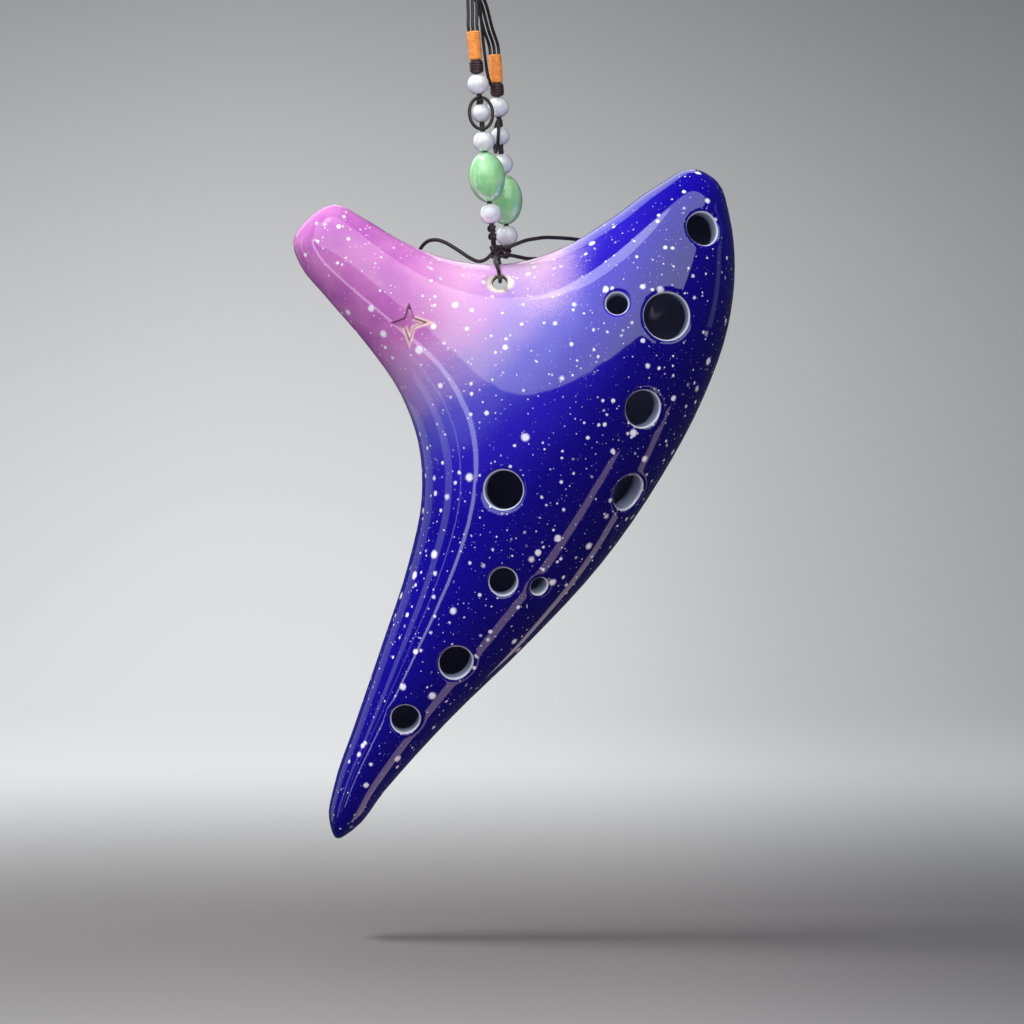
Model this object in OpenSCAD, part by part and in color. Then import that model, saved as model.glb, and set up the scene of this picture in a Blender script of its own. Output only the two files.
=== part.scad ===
// Transverse ocarina of glazed ceramic, hanging from the lower end of a beaded neck cord.
// Frame: +X towards the head lobe, +Y towards the thumb-hole side, +Z up.
// Origin: the inside top of the hanging loop, where a hook or a peg bears.
// The ocarina's own outline is drawn about its lanyard hole and then leans on the cord, so that
// its centre of mass hangs below the hole.

/* [Hanging] */
// Distance from the hanging loop down to the lanyard hole
drop = 92; // [90:1:96]
// Lean of the ocarina's outline on its cord, in degrees
hang_lean = 5.5; // [5:0.25:6]

/* [Ocarina body] */
// Radius of the rounded rim where the two shells meet
rim_r = 16; // [15:0.5:18]
// Radius of the same rim inside, round the sound chamber
chamber_r = 11; // [10:0.25:11.5]
// Thickness of the mouthpiece tip as a share of the body's rule
tip_slim = 0.64; // [0.58:0.02:0.7]
// Length of the separately made mouthpiece along its arm
mouthpiece_l = 22; // [20:1:26]
// Depth of the stamped star
star_depth = 0.5; // [0.3:0.1:0.8]
// Radius of the stamped star
star_r = 4.2; // [3:0.2:5]

/* [Lanyard hole] */
// Radius of the hole that the cord passes through
lanyard_r = 1.7; // [1.7:0.1:2.1]
// Radius of the ball-shaped dimple at each end of the hole
dimple_r = 4.2; // [3.6:0.2:4.6]

/* [Windway and voicing] */
// Width of the windway and of the voicing window
windway_w = 11; // [9:0.5:12]
// Height of the windway
windway_h = 1.4; // [1.2:0.1:1.8]
// Length of the voicing window, from the windway's exit to the labium
window_l = 5; // [4:0.5:6]
// Slope of the labium's ramp, in degrees
labium_slope = 24; // [20:1:28]

/* [Cord] */
// Diameter of the waxed cord in the loops and tails
cord_d = 0.9; // [0.8:0.05:0.9]
// Diameter of each thin strand above the wraps
strand_d = 0.75; // [0.6:0.05:0.8]
// Diameter of the doubled strand that the beads turn on
core_d = 1.2; // [1:0.1:1.2]
// Diameter of the orange thread wraps
wrap_d = 3.1; // [3:0.1:3.4]
// Length of the orange thread wraps
orange_l = 6.6; // [5:0.2:7]
// Length of the dark thread wraps
dark_l = 3.1; // [2.8:0.1:3.4]

/* [Beads] */
// Diameter of the round white beads
white_d = 5; // [4.6:0.1:5]
// Diameter of the toggle beads that the loops close over
toggle_d = 4.4; // [4:0.1:4.4]
// Diameter of the oval green beads
oval_d = 8.3; // [7.6:0.1:8.4]
// Length of the oval green beads
oval_l = 11.6; // [10.6:0.2:11.6]
// Radial clearance between a bead's bore and its strand
bead_gap = 0.06; // [0.04:0.01:0.1]

/* [Hidden] */
$fn = 48;

// Outline of the body at the seam, [X, Z] about the lanyard hole: up the left side from the tail,
// round the mouthpiece, across the notch, over the head lobe and down the right side.
RIM = [
    [-37.5, -127.5], [-39.3, -123], [-38.2, -115.5], [-33.5, -101.5], [-27, -82.5], [-21, -64],
    [-18, -49], [-18.8, -36.5], [-23, -25], [-31, -13.5], [-40, -3], [-46, 4.5],
    [-47.6, 9.7], [-44, 15.2], [-38, 18.4], [-32, 15.6], [-24.5, 11], [-14.5, 6.5],
    [-5, 4.6], [4, 5], [14, 8.2], [25.5, 15], [36, 22.5], [44.5, 26.5],
    [50, 23.5], [52.8, 15.5], [54, 4], [52.4, -10], [46.8, -26], [37, -44.5],
    [23.5, -64], [6.5, -82.5], [-12, -100.5], [-26.5, -116.5], [-33.8, -125.5]
];
// Outline of the sound chamber at the seam, a wall's thickness inside the rim.
CHAMBER = [
    [-26.5, -106], [-29, -102], [-22.3, -82.5], [-16.2, -64], [-13.2, -49], [-14, -36.5],
    [-18.5, -24], [-23.5, -15], [-21, -7], [-14, -2], [-7, -4.5], [0, -7],
    [10, 0], [20, 6], [32, 14.5], [41, 20.5], [46.5, 19.5], [49, 12],
    [49.7, 3], [48, -9.5], [42.5, -24.5], [33, -42], [19.8, -61], [3.3, -79.5],
    [-14.5, -97]
];
// The point from which both outlines can be seen whole.
HUB = [4.6, -26.7];

// Finger holes on the front, [X, Z, radius]: the head's, then those down to the tail.
FINGER_HOLES = [
    [46.5, 12.2, 3.7], [26.5, -5.1, 2.4], [38, -8.1, 5.2], [32.7, -29.2, 4.1], [29.7, -48.3, 4.1],
    [0.7, -47.4, 4.3], [0.9, -68.3, 3], [9.2, -69.5, 1.9], [-9.7, -86.9, 3.7], [-21.3, -99.7, 3.1]
];
// Thumb holes on the back, [X, Z, radius].
THUMB_HOLES = [[20, -22, 4.8], [-5, -62, 4.4]];

// The mouthpiece's arm: the middle of its tip, and its direction into the body.
TIP = [-43.5, 13];
ARM_ANGLE = -40;
// Along the arm: where the windway leaves the roof, and how it lies between front and back.
WINDWAY_EXIT = 31;
WINDWAY_SLOPE = 14.5;
WINDWAY_FLOOR_Y = -0.4;
// Along the arm: where the body reaches its full thickness.
FULL_THICKNESS_AT = 85;
// Middle of the stamped star.
STAR = [-20.7, -9.4];

// How finely the shells are drawn: steps between outline points, and rings from hub to rim.
OUTLINE_STEPS = 2;
SHELL_RINGS = 9;

// Cutters: how deep the holes are drilled and how far the drill stands above the surface,
// the length that passes through the whole body, and the overlap where two cutters meet.
CUT_DEPTH = 14;
CUT_ABOVE = 4;
CUT_THROUGH = 60;
OVERLAP = 0.5;
// The block that parts the mouthpiece from the shells: its width, and its start before the tip.
BLOCK_W = 80;
BLOCK_BEFORE = 30;
// The windway's cutter starts this far before the tip.
WINDWAY_BEFORE = 8;
// The voicing window's cutter: its height, and how far it starts below the windway's floor.
WINDOW_H = 20;
WINDOW_BELOW = 5;
// The labium's cutter: its length up the ramp, and its height.
RAMP_L = 24;
RAMP_H = 12;
// Height of a dimple's middle above the surface, as a share of its radius.
DIMPLE_RISE = 0.6;

// Places of the two hanging sides, [X, Y] of the strand at the height of the join knot's top.
LEFT_FOOT = [-0.7, -3.4];
RIGHT_FOOT = [2.5, 4.8];
RIGHT_LEAN = 1.6;
// Heights above the lanyard hole of the wraps' upper ends.
LEFT_WRAP_TOP = 58.1;
RIGHT_WRAP_TOP = 53.2;
FOOT_Z = 9;
// Turn of each toggle loop about its strand: face on at the left, edge on at the right.
LEFT_LOOP_TURN = 0;
RIGHT_LOOP_TURN = -80;

// Distances along a side, from the lower end of the dark wrap down to the middle of each bead.
UPPER_BEAD_AT = 2.5;
TOGGLE_AT = 9.2;
MIDDLE_BEAD_AT = 15.7;
OVAL_AT = 23.9;
LOWER_BEAD_AT = 32.3;
LOWER_END_AT = 34.8;
LEFT_KNOTS_L = 3.7;
RIGHT_KNOTS_L = 1.1;

// Toggle loop: half its width and height, and how far it bulges in front of its bead.
LOOP_HALF_W = 2.65;
LOOP_HALF_H = 3.7;
LOOP_BULGE = 1.25;
LOOP_CORD_D = 0.8;
LOOP_STEPS = 20;

JOIN_KNOT = [-0.1, 0.1, 7.5];
JOIN_KNOT_R = 1.6;
JOIN_KNOT_H = 3.4;
GATHER_KNOT_R = 3.1;
GATHER_KNOT_H = 6;
GATHER_TO_TOP = 17;
GATHER_X = 0.6;

// Height of the cord inside the lanyard hole: it bears on the hole's upper side.
PIVOT_Z = 1.2;
LANYARD_ROUTE = [
    [-0.3, -1.2, 6.3], [-0.5, -3, 5.9], [-0.7, -5, 5.5], [-0.8, -7, 5], [-0.8, -9, 4.5],
    [-0.6, -10.4, 4], [-0.4, -11.3, 3.4], [-0.2, -11.7, 2.6], [-0.1, -11.3, 1.8], [0, -10.3, 1.2],
    [0, -8, 1.2], [0, -5.5, 1.2], [0, -3, 1.2], [0, 0, 1.2], [0, 3, 1.2], [0, 5.5, 1.2],
    [0, 8, 1.2], [0, 10.3, 1.2], [0.1, 11.3, 1.8], [0.2, 11.7, 2.6], [0.3, 11.3, 3.4],
    [0.4, 10.4, 4], [0.4, 9, 4.5], [0.3, 7, 5], [0.2, 5, 5.5], [0.1, 3, 5.9], [0, 1.4, 6.3]
];
// Tail routes start at the side of the join knot and run behind the body.
LEFT_TAIL_ROUTE = [
    [-1.3, 1, 7.2], [-2.7, 2.4, 6.2], [-4.4, 4, 5.9], [-6.3, 5.6, 6.9], [-8, 6.8, 8.3],
    [-9.8, 7.9, 9.8], [-11.8, 9, 11.3], [-13.9, 10, 12.2], [-15.9, 11, 12.1], [-17.5, 12, 10.9],
    [-18.6, 12.8, 9.1], [-19.3, 13.5, 7], [-19.8, 14.1, 4.7], [-20.2, 14.6, 2.4]
];
RIGHT_TAIL_ROUTE = [
    [1.3, 0.4, 7.9], [2.9, 0.5, 8.4], [4.8, 1.2, 9], [6.8, 2.5, 9.6], [9, 4.2, 9.9],
    [11.2, 6.3, 10.1], [13.4, 8.4, 10], [15.6, 10.5, 9.8], [17.8, 12.2, 9.5], [20, 14, 9],
    [22, 15.6, 8], [23.8, 17, 6.6], [25.2, 18.2, 4.9], [26.3, 19.2, 3]
];
SHORT_TAIL_ROUTE = [
    [1.4, 0.4, 6.7], [3.2, 1.5, 6.4], [4.9, 3.6, 6], [6.7, 5.9, 5.6], [8.5, 8.2, 5.5],
    [10.2, 10.4, 5.4], [12.1, 12.2, 5.2], [14.1, 14, 4.7], [16, 15.8, 4], [17.8, 17.4, 2.9],
    [19.4, 18.8, 1.5], [20.8, 20, -0.2]
];
TAIL_KNOT_R = 1;
// How far past the end of its cord a tail knot's middle lies, as a share of its radius.
TAIL_KNOT_PAST = 0.8;
// Routes from a side's knots to the join knot.
LEFT_LEAD = [[-0.7, -3.4, 9.85], [-0.7, -3.2, 9.1], [-0.5, -2.3, 8.4], [-0.3, -1.3, 8.1]];
RIGHT_LEAD = [[2.4, 4.8, 7.6], [2.3, 4.4, 6.8], [1.8, 3.1, 6.4], [1, 1.5, 6.9]];
// The one strand between the two groups: where it leaves the gather knot, in X, and its lower
// part, which ends in the right orange wrap.
MIDDLE_TOP_X = [1.1, 1.2];
MIDDLE_TOP_L = 2;
MIDDLE_ROUTE = [
    [1.4, 0.3, 64], [1.4, 0.7, 61], [1.4, 1.1, 58], [1.4, 1.5, 55], [1.5, 1.8, 52],
    [1.6, 2.2, 49.5], [1.9, 2.6, 47.3], [2.4, 3.3, 45.6]
];
// The hanging loop, from the gather knot over its top, which is at Z 0, and back.
HANGING_ROUTE = [
    [-0.2, 0, -17.45], [-1, 0, -15.8], [-1.9, 0, -13.4], [-2.6, 0, -11], [-3, 0, -8.5],
    [-3.1, 0, -6], [-2.9, 0, -4], [-2.4, 0, -2.2], [-1.6, 0, -0.8], [-0.8, 0, -0.2], [0, 0, 0],
    [0.8, 0, -0.2], [1.6, 0, -0.8], [2.4, 0, -2.2], [2.9, 0, -4], [3.2, 0, -6],
    [3.3, 0, -8.5], [3.2, 0, -11], [2.8, 0, -13.4], [2.1, 0, -15.8], [1.4, 0, -17.45]
];

// Small knots: those that hold a toggle loop and stop a bead, and those that the beads rest on.
LOOP_KNOT_R = 0.9;
LOOP_KNOT_H = 0.75;
STOP_KNOT_R = 1;
STOP_KNOT_H = 0.6;
SIDE_KNOT_R = 1.1;
// How far the strands of one wrap lie apart, and how far each side's strands are from the middle.
STRAND_PITCH = 1;
STRAND_SPREAD = 0.6;
// A neck strand's straight ends, and its two bends as shares of the way up.
STRAND_STUB = [0, 0, 1.5];
STRAND_BENDS = [0.38, 0.68];
// How much thicker a dark wrap is than an orange one.
DARK_WRAP_MORE = 0.2;

// ---------------------------------------------------------------- curves and solids of rings

function total(list) = list * [for (item = list) 1];
function unit(v) = v / norm(v);
function smooth_step(t) = let(c = min(max(t, 0), 1)) c * c * (3 - 2 * c);

// Tangent at b of a smooth curve through a, b and c, scaled for a piece of length l.
function through_tangent(a, b, c, l) =
    let(l0 = norm(b - a), l1 = norm(c - b))
    l * ((b - a) * l1 / l0 + (c - b) * l0 / l1) / (l0 + l1);

// A closed curve through the points, with so many steps from each point to the next.
function smooth_loop(points, steps) =
    let(n = len(points))
    [for (i = [0:n - 1])
        let(
            a = points[(i + n - 1) % n],
            b = points[i],
            c = points[(i + 1) % n],
            d = points[(i + 2) % n],
            l = norm(c - b),
            mb = through_tangent(a, b, c, l),
            mc = through_tangent(b, c, d, l)
        )
        for (k = [0:steps - 1])
            let(t = k / steps, t2 = t * t, t3 = t2 * t)
            (2 * t3 - 3 * t2 + 1) * b + (t3 - 2 * t2 + t) * mb
                + (3 * t2 - 2 * t3) * c + (t3 - t2) * mc];

// A closed solid through rings of equally many points, closed by a fan at each end.
module ring_solid(rings, first, last) {
    n = len(rings[0]);
    m = len(rings);
    points = concat([first], [for (ring = rings) each ring], [last]);
    end = len(points) - 1;
    faces = concat(
        [for (i = [0:n - 1]) [0, 1 + i, 1 + (i + 1) % n]],
        [for (j = [0:m - 2], i = [0:n - 1])
            [1 + j * n + i, 1 + (j + 1) * n + i, 1 + (j + 1) * n + (i + 1) % n]],
        [for (j = [0:m - 2], i = [0:n - 1])
            [1 + j * n + i, 1 + (j + 1) * n + (i + 1) % n, 1 + j * n + (i + 1) % n]],
        [for (i = [0:n - 1]) [end, 1 + (m - 1) * n + (i + 1) % n, 1 + (m - 1) * n + i]]
    );
    polyhedron(points = points, faces = faces);
}

// A round tube along a route, with sides measured from the guide direction.
module tube(route, d, guide, sides = 8) {
    n = len(route);
    rings = [for (i = [0:n - 1])
        let(
            along = unit(route[min(i + 1, n - 1)] - route[max(i - 1, 0)]),
            across = unit(cross(along, guide)),
            up = cross(along, across)
        )
        [for (s = [0:sides - 1])
            let(a = 360 * s / sides)
            route[i] + d / 2 * (cos(a) * across + sin(a) * up)]];
    ring_solid(rings, route[0], route[n - 1]);
}

// A turned barrel with rounded ends, standing on z = 0.
module barrel(r, h) {
    round_r = min(r, h / 2) * 0.8;
    rotate_extrude()
        polygon(concat(
            [[0, 0]],
            [for (a = [-90:15:0]) [r - round_r + round_r * cos(a), round_r + round_r * sin(a)]],
            [for (a = [0:15:90]) [r - round_r + round_r * cos(a), h - round_r + round_r * sin(a)]],
            [[0, h]]
        ));
}

// ---------------------------------------------------------------- the ocarina's shape

// Pull of one outline edge, seen from a point: large near the edge and small far from it.
function edge_pull(a, b) =
    let(ra = norm(a), rb = norm(b))
    (1 / ra + 1 / rb) * (a[1] * b[0] - a[0] * b[1]) / (ra * rb + a * b);

// A smooth depth inside an outline: the distance to the rim near it, levelling off further in.
function depth_in(loop, p) =
    let(n = len(loop))
    2 / total([for (i = [0:n - 1]) edge_pull(loop[i] - p, loop[(i + 1) % n] - p)]);

function arm_distance(p) = (p - TIP) * [cos(ARM_ANGLE), sin(ARM_ANGLE)];

// The arm and the notch are slimmer than the body.
function slimness(p) = tip_slim + (1 - tip_slim) * smooth_step(arm_distance(p) / FULL_THICKNESS_AT);

// Half the thickness at a point inside the outline.
function half_thickness(loop, r, p) = slimness(p) * sqrt(2 * r * max(depth_in(loop, p), 0));

// Rings from near the hub out to the rim, on the front (side = -1) or the back (side = 1).
function pod_rings(loop, r, side) =
    [for (j = [1:SHELL_RINGS])
        let(s = sin(90 * j / SHELL_RINGS))
        [for (q = loop)
            let(p = HUB + s * (q - HUB), y = j < SHELL_RINGS ? half_thickness(loop, r, p) : 0)
            [p[0], side * y, p[1]]]];

function in_space(p, y) = [p[0], y, p[1]];

// The front half of a pod-shaped solid, with a straight skirt past the seam.
module front_half(points, r, skirt) {
    loop = smooth_loop(points, OUTLINE_STEPS);
    skirt_ring = [for (q = loop) in_space(q, skirt)];
    rings = skirt > 0
        ? concat(pod_rings(loop, r, -1), [skirt_ring])
        : pod_rings(loop, r, -1);
    ring_solid(rings, in_space(HUB, -half_thickness(loop, r, HUB)), in_space(HUB, skirt));
}

// The whole pod, both sides of the seam.
module whole_pod() {
    loop = smooth_loop(RIM, OUTLINE_STEPS);
    back = pod_rings(loop, rim_r, 1);
    rings = concat(
        pod_rings(loop, rim_r, -1),
        [for (j = [SHELL_RINGS - 2:-1:0]) back[j]]
    );
    y = half_thickness(loop, rim_r, HUB);
    ring_solid(rings, in_space(HUB, -y), in_space(HUB, y));
}

// Puts children with their +Z along the outward normal of the front surface at p.
module on_front(p) {
    loop = smooth_loop(RIM, OUTLINE_STEPS);
    step = 0.5;
    y = half_thickness(loop, rim_r, p);
    slope_x = (half_thickness(loop, rim_r, p + [step, 0]) - half_thickness(loop, rim_r, p - [step, 0]))
        / (2 * step);
    slope_z = (half_thickness(loop, rim_r, p + [0, step]) - half_thickness(loop, rim_r, p - [0, step]))
        / (2 * step);
    out = unit([-slope_x, -1, -slope_z]);
    turn = atan2(out[1], out[0]);
    tip = acos(out[2]);
    translate([p[0], -y, p[1]])
        rotate([0, tip, turn])
            children();
}

// Round holes drilled square to the front surface, through the wall and into the chamber.
module drilled(holes) {
    for (hole = holes)
        on_front([hole[0], hole[1]])
            translate([0, 0, CUT_ABOVE - CUT_DEPTH])
                cylinder(r = hole[2], h = CUT_DEPTH);
}

// The hole for the cord, with a dimple where it meets each face.
module lanyard_cut() {
    rotate([90, 0, 0])
        cylinder(r = lanyard_r, h = CUT_THROUGH, center = true);
    on_front([0, 0])
        translate([0, 0, dimple_r * DIMPLE_RISE])
            sphere(r = dimple_r);
}

// Children drawn with +X along the arm from its tip, +Y across it and +Z towards the back.
module along_arm() {
    translate([TIP[0], 0, TIP[1]])
        rotate([0, -ARM_ANGLE, 0])
            rotate([-90, 0, 0])
                children();
}

// Everything on the mouthpiece's side of the cut between it and the shells.
module mouthpiece_block() {
    along_arm()
        translate([-BLOCK_BEFORE, -BLOCK_W / 2, -BLOCK_W / 2])
            cube([BLOCK_BEFORE + mouthpiece_l, BLOCK_W, BLOCK_W]);
}

// The flat air channel from the tip to the window.
module windway() {
    run = WINDWAY_EXIT / cos(WINDWAY_SLOPE);
    along_arm()
        translate([0, 0, WINDWAY_FLOOR_Y])
            rotate([0, -WINDWAY_SLOPE, 0])
                translate([-WINDWAY_BEFORE, -windway_w / 2, 0])
                    cube([run + WINDWAY_BEFORE + OVERLAP, windway_w, windway_h]);
}

// The voicing window, and the ramp that leaves the labium's edge at its far side.
module voicing() {
    floor_y = WINDWAY_FLOOR_Y + WINDWAY_EXIT * tan(WINDWAY_SLOPE);
    lip = WINDWAY_EXIT + window_l;
    along_arm()
        translate([WINDWAY_EXIT, -windway_w / 2, floor_y - WINDOW_BELOW])
            cube([window_l, windway_w, WINDOW_H]);
    along_arm()
        translate([lip - OVERLAP, -windway_w / 2, floor_y + windway_h / 2])
            rotate([0, -labium_slope, 0])
                cube([RAMP_L, windway_w, RAMP_H]);
}

// A four-pointed star, stamped into the front.
module star_stamp() {
    waist = 0.36;
    on_front(STAR)
        translate([0, 0, -star_depth])
            linear_extrude(height = CUT_ABOVE)
                polygon([for (i = [0:7])
                    let(r = i % 2 == 0 ? star_r : star_r * waist)
                    r * [cos(45 * i), sin(45 * i)]]);
}

module back_view() {
    mirror([0, 1, 0])
        children();
}

// ---------------------------------------------------------------- places along the cord

module at_hole() {
    translate([0, 0, -drop])
        children();
}

// The ocarina's own axes: about the lanyard hole, leaning on the cord.
module on_ocarina() {
    at_hole()
        translate([0, 0, PIVOT_Z])
            rotate([0, hang_lean, 0])
                translate([0, 0, -PIVOT_Z])
                    children();
}

// A side is [foot, lean, wrap top, loop turn, length of the knots].
LEFT = [LEFT_FOOT, 0, LEFT_WRAP_TOP, LEFT_LOOP_TURN, LEFT_KNOTS_L];
RIGHT = [RIGHT_FOOT, RIGHT_LEAN, RIGHT_WRAP_TOP, RIGHT_LOOP_TURN, RIGHT_KNOTS_L];

// Children drawn with the strand along Z and the wrap's lower end at z = 0.
module on_side(side) {
    foot = side[0];
    reach = side[2] - orange_l - dark_l - FOOT_Z;
    at_hole()
        translate([foot[0], foot[1], FOOT_Z])
            rotate([0, side[1], 0])
                translate([0, 0, reach])
                    children();
}

function wrap_top_x(side) = side[0][0] + (side[2] - FOOT_Z) * sin(side[1]);

// ---------------------------------------------------------------- ocarina

module front_shell() {
    color("mediumblue")
        on_ocarina()
            difference() {
                front_half(RIM, rim_r, 0);
                front_half(CHAMBER, chamber_r, 1);
                mouthpiece_block();
                drilled(FINGER_HOLES);
                lanyard_cut();
                star_stamp();
            }
}

module back_shell() {
    color("navy")
        on_ocarina()
            difference() {
                back_view()
                    front_half(RIM, rim_r, 0);
                back_view()
                    front_half(CHAMBER, chamber_r, 1);
                mouthpiece_block();
                back_view()
                    drilled(THUMB_HOLES);
                back_view()
                    lanyard_cut();
                windway();
                voicing();
            }
}

module mouthpiece() {
    color("orchid")
        on_ocarina()
            difference() {
                intersection() {
                    whole_pod();
                    mouthpiece_block();
                }
                windway();
            }
}

// ---------------------------------------------------------------- loop, knots and tails

module lanyard_loop() {
    color("black")
        at_hole()
            tube(LANYARD_ROUTE, cord_d, [1, 0, 0]);
}

module join_knot() {
    color("black")
        at_hole()
            translate([JOIN_KNOT[0], JOIN_KNOT[1], JOIN_KNOT[2] - JOIN_KNOT_H / 2])
                barrel(JOIN_KNOT_R, JOIN_KNOT_H);
}

module tail(route) {
    color("black")
        at_hole()
            tube(route, cord_d, [0, 1, 0]);
}

module tail_knot(route) {
    n = len(route);
    end = route[n - 1];
    color("black")
        at_hole()
            translate(end + TAIL_KNOT_PAST * TAIL_KNOT_R * unit(end - route[n - 2]))
                sphere(r = TAIL_KNOT_R);
}

module gather_knot() {
    color("black")
        translate([GATHER_X, 0, -GATHER_TO_TOP - GATHER_KNOT_H])
            barrel(GATHER_KNOT_R, GATHER_KNOT_H);
}

// The loop that stands on the gather knot. A hook bears on the inside of its top.
module hanging_loop() {
    color("black")
        translate([0, 0, cord_d / 2])
            tube(HANGING_ROUTE, cord_d, [0, 1, 0]);
}

// ---------------------------------------------------------------- the two hanging sides

// Thin strands from the top of a wrap up to the gather knot, in front of its middle or behind it.
module neck_strands(side, depth) {
    color("black")
        for (i = [-1:1]) {
            low = [wrap_top_x(side) + i * STRAND_PITCH, side[0][1], side[2] - drop];
            high = [
                GATHER_X + depth * STRAND_SPREAD + i * STRAND_PITCH,
                depth,
                -GATHER_TO_TOP - GATHER_KNOT_H
            ];
            tube([
                low,
                low + STRAND_STUB,
                low + STRAND_BENDS[0] * (high - low),
                low + STRAND_BENDS[1] * (high - low),
                high - STRAND_STUB,
                high
            ], strand_d, [1, 0, 0]);
        }
}

module middle_strand() {
    knot = drop - GATHER_TO_TOP - GATHER_KNOT_H;
    top = [[MIDDLE_TOP_X[0], 0, knot], [MIDDLE_TOP_X[1], 0, knot - MIDDLE_TOP_L]];
    color("black")
        at_hole()
            tube(concat(top, MIDDLE_ROUTE), strand_d, [1, 0, 0]);
}

module orange_wrap(side) {
    color("darkorange")
        on_side(side)
            translate([0, 0, dark_l])
                cylinder(d = wrap_d, h = orange_l);
}

module dark_wrap(side) {
    color("saddlebrown")
        on_side(side)
            cylinder(d = wrap_d + DARK_WRAP_MORE, h = dark_l);
}

// From the dark wrap through the upper bead to the knot of the toggle loop.
module upper_strand(side) {
    knot_top = TOGGLE_AT - LOOP_HALF_H;
    color("black")
        on_side(side)
            translate([0, 0, -knot_top])
                cylinder(d = core_d, h = knot_top);
}

// The loop of the upper cord that closes over the toggle bead, with its knot.
module toggle_loop(side) {
    first = 9;
    step = (360 - 2 * first) / LOOP_STEPS;
    route = [for (i = [0:LOOP_STEPS])
        let(a = first + step * i)
        [LOOP_HALF_W * sin(a), -LOOP_BULGE * sin(a / 2), LOOP_HALF_H * cos(a) - TOGGLE_AT]];
    color("black")
        on_side(side)
            rotate([0, 0, side[3]])
                union() {
                    tube(route, LOOP_CORD_D, [0, 1, 0]);
                    translate([0, 0, LOOP_HALF_H - TOGGLE_AT - LOOP_KNOT_H])
                        barrel(LOOP_KNOT_R, LOOP_KNOT_H);
                }
}

// From a stop knot over the toggle bead down through the three lower beads.
module lower_strand(side) {
    top = -TOGGLE_AT + toggle_d / 2;
    color("black")
        on_side(side)
            union() {
                translate([0, 0, -LOWER_END_AT])
                    cylinder(d = core_d, h = LOWER_END_AT + top);
                translate([0, 0, top])
                    barrel(STOP_KNOT_R, STOP_KNOT_H);
            }
}

module round_bead(side, distance, d) {
    on_side(side)
        translate([0, 0, -distance])
            difference() {
                sphere(d = d);
                cylinder(r = core_d / 2 + bead_gap, h = d + 1, center = true);
            }
}

module white_bead(side, distance) {
    color("white")
        round_bead(side, distance, white_d);
}

module toggle_bead(side) {
    color("whitesmoke")
        round_bead(side, TOGGLE_AT, toggle_d);
}

module oval_bead(side) {
    color("palegreen")
        on_side(side)
            translate([0, 0, -OVAL_AT])
                difference() {
                    rotate_extrude()
                        polygon([for (a = [-90:10:90]) [oval_d / 2 * cos(a), oval_l / 2 * sin(a)]]);
                    cylinder(r = core_d / 2 + bead_gap, h = oval_l + 1, center = true);
                }
}

// The knots that the beads of a side rest on: two where there is room, or one.
module side_knots(side) {
    h = side[4];
    count = h > 2 ? 2 : 1;
    color("black")
        on_side(side)
            translate([0, 0, -LOWER_END_AT - h])
                union()
                    for (i = [0:count - 1])
                        translate([0, 0, h / count * i])
                            barrel(SIDE_KNOT_R, h / count);
}

// The short cord from a side's knots to the join knot.
module lead(route) {
    color("black")
        at_hole()
            tube(route, core_d, [1, 0, 0]);
}

front_shell();
back_shell();
mouthpiece();
lanyard_loop();
join_knot();
tail(LEFT_TAIL_ROUTE);  // left_tail
tail(RIGHT_TAIL_ROUTE);  // right_tail
tail(SHORT_TAIL_ROUTE);  // short_tail
tail_knot(LEFT_TAIL_ROUTE);  // left_tail_knot
tail_knot(RIGHT_TAIL_ROUTE);  // right_tail_knot
tail_knot(SHORT_TAIL_ROUTE);  // short_tail_knot
lead(LEFT_LEAD);  // left_lead
side_knots(LEFT);  // left_knots
lower_strand(LEFT);  // left_lower_strand
white_bead(LEFT, LOWER_BEAD_AT);  // left_lower_bead
oval_bead(LEFT);  // left_oval_bead
white_bead(LEFT, MIDDLE_BEAD_AT);  // left_middle_bead
toggle_bead(LEFT);  // left_toggle_bead
toggle_loop(LEFT);  // left_toggle_loop
upper_strand(LEFT);  // left_upper_strand
white_bead(LEFT, UPPER_BEAD_AT);  // left_upper_bead
dark_wrap(LEFT);  // left_dark_wrap
orange_wrap(LEFT);  // left_orange_wrap
neck_strands(LEFT, -1);  // left_neck_strands
lead(RIGHT_LEAD);  // right_lead
side_knots(RIGHT);  // right_knots
lower_strand(RIGHT);  // right_lower_strand
white_bead(RIGHT, LOWER_BEAD_AT);  // right_lower_bead
oval_bead(RIGHT);  // right_oval_bead
white_bead(RIGHT, MIDDLE_BEAD_AT);  // right_middle_bead
toggle_bead(RIGHT);  // right_toggle_bead
toggle_loop(RIGHT);  // right_toggle_loop
upper_strand(RIGHT);  // right_upper_strand
white_bead(RIGHT, UPPER_BEAD_AT);  // right_upper_bead
dark_wrap(RIGHT);  // right_dark_wrap
orange_wrap(RIGHT);  // right_orange_wrap
neck_strands(RIGHT, 1);  // right_neck_strands
middle_strand();
gather_knot();
hanging_loop();
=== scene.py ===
"""A glazed ceramic ocarina on a beaded neck cord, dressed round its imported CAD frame.

Sizes are in millimetres until a piece is made; row() and MM turn them into the frame's metres.
The ocarina's own axes have their origin at its lanyard hole, before it leans on the cord.
"""

import math

import bmesh
import bpy
import numpy as np
from mathutils import Matrix, Vector


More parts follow.
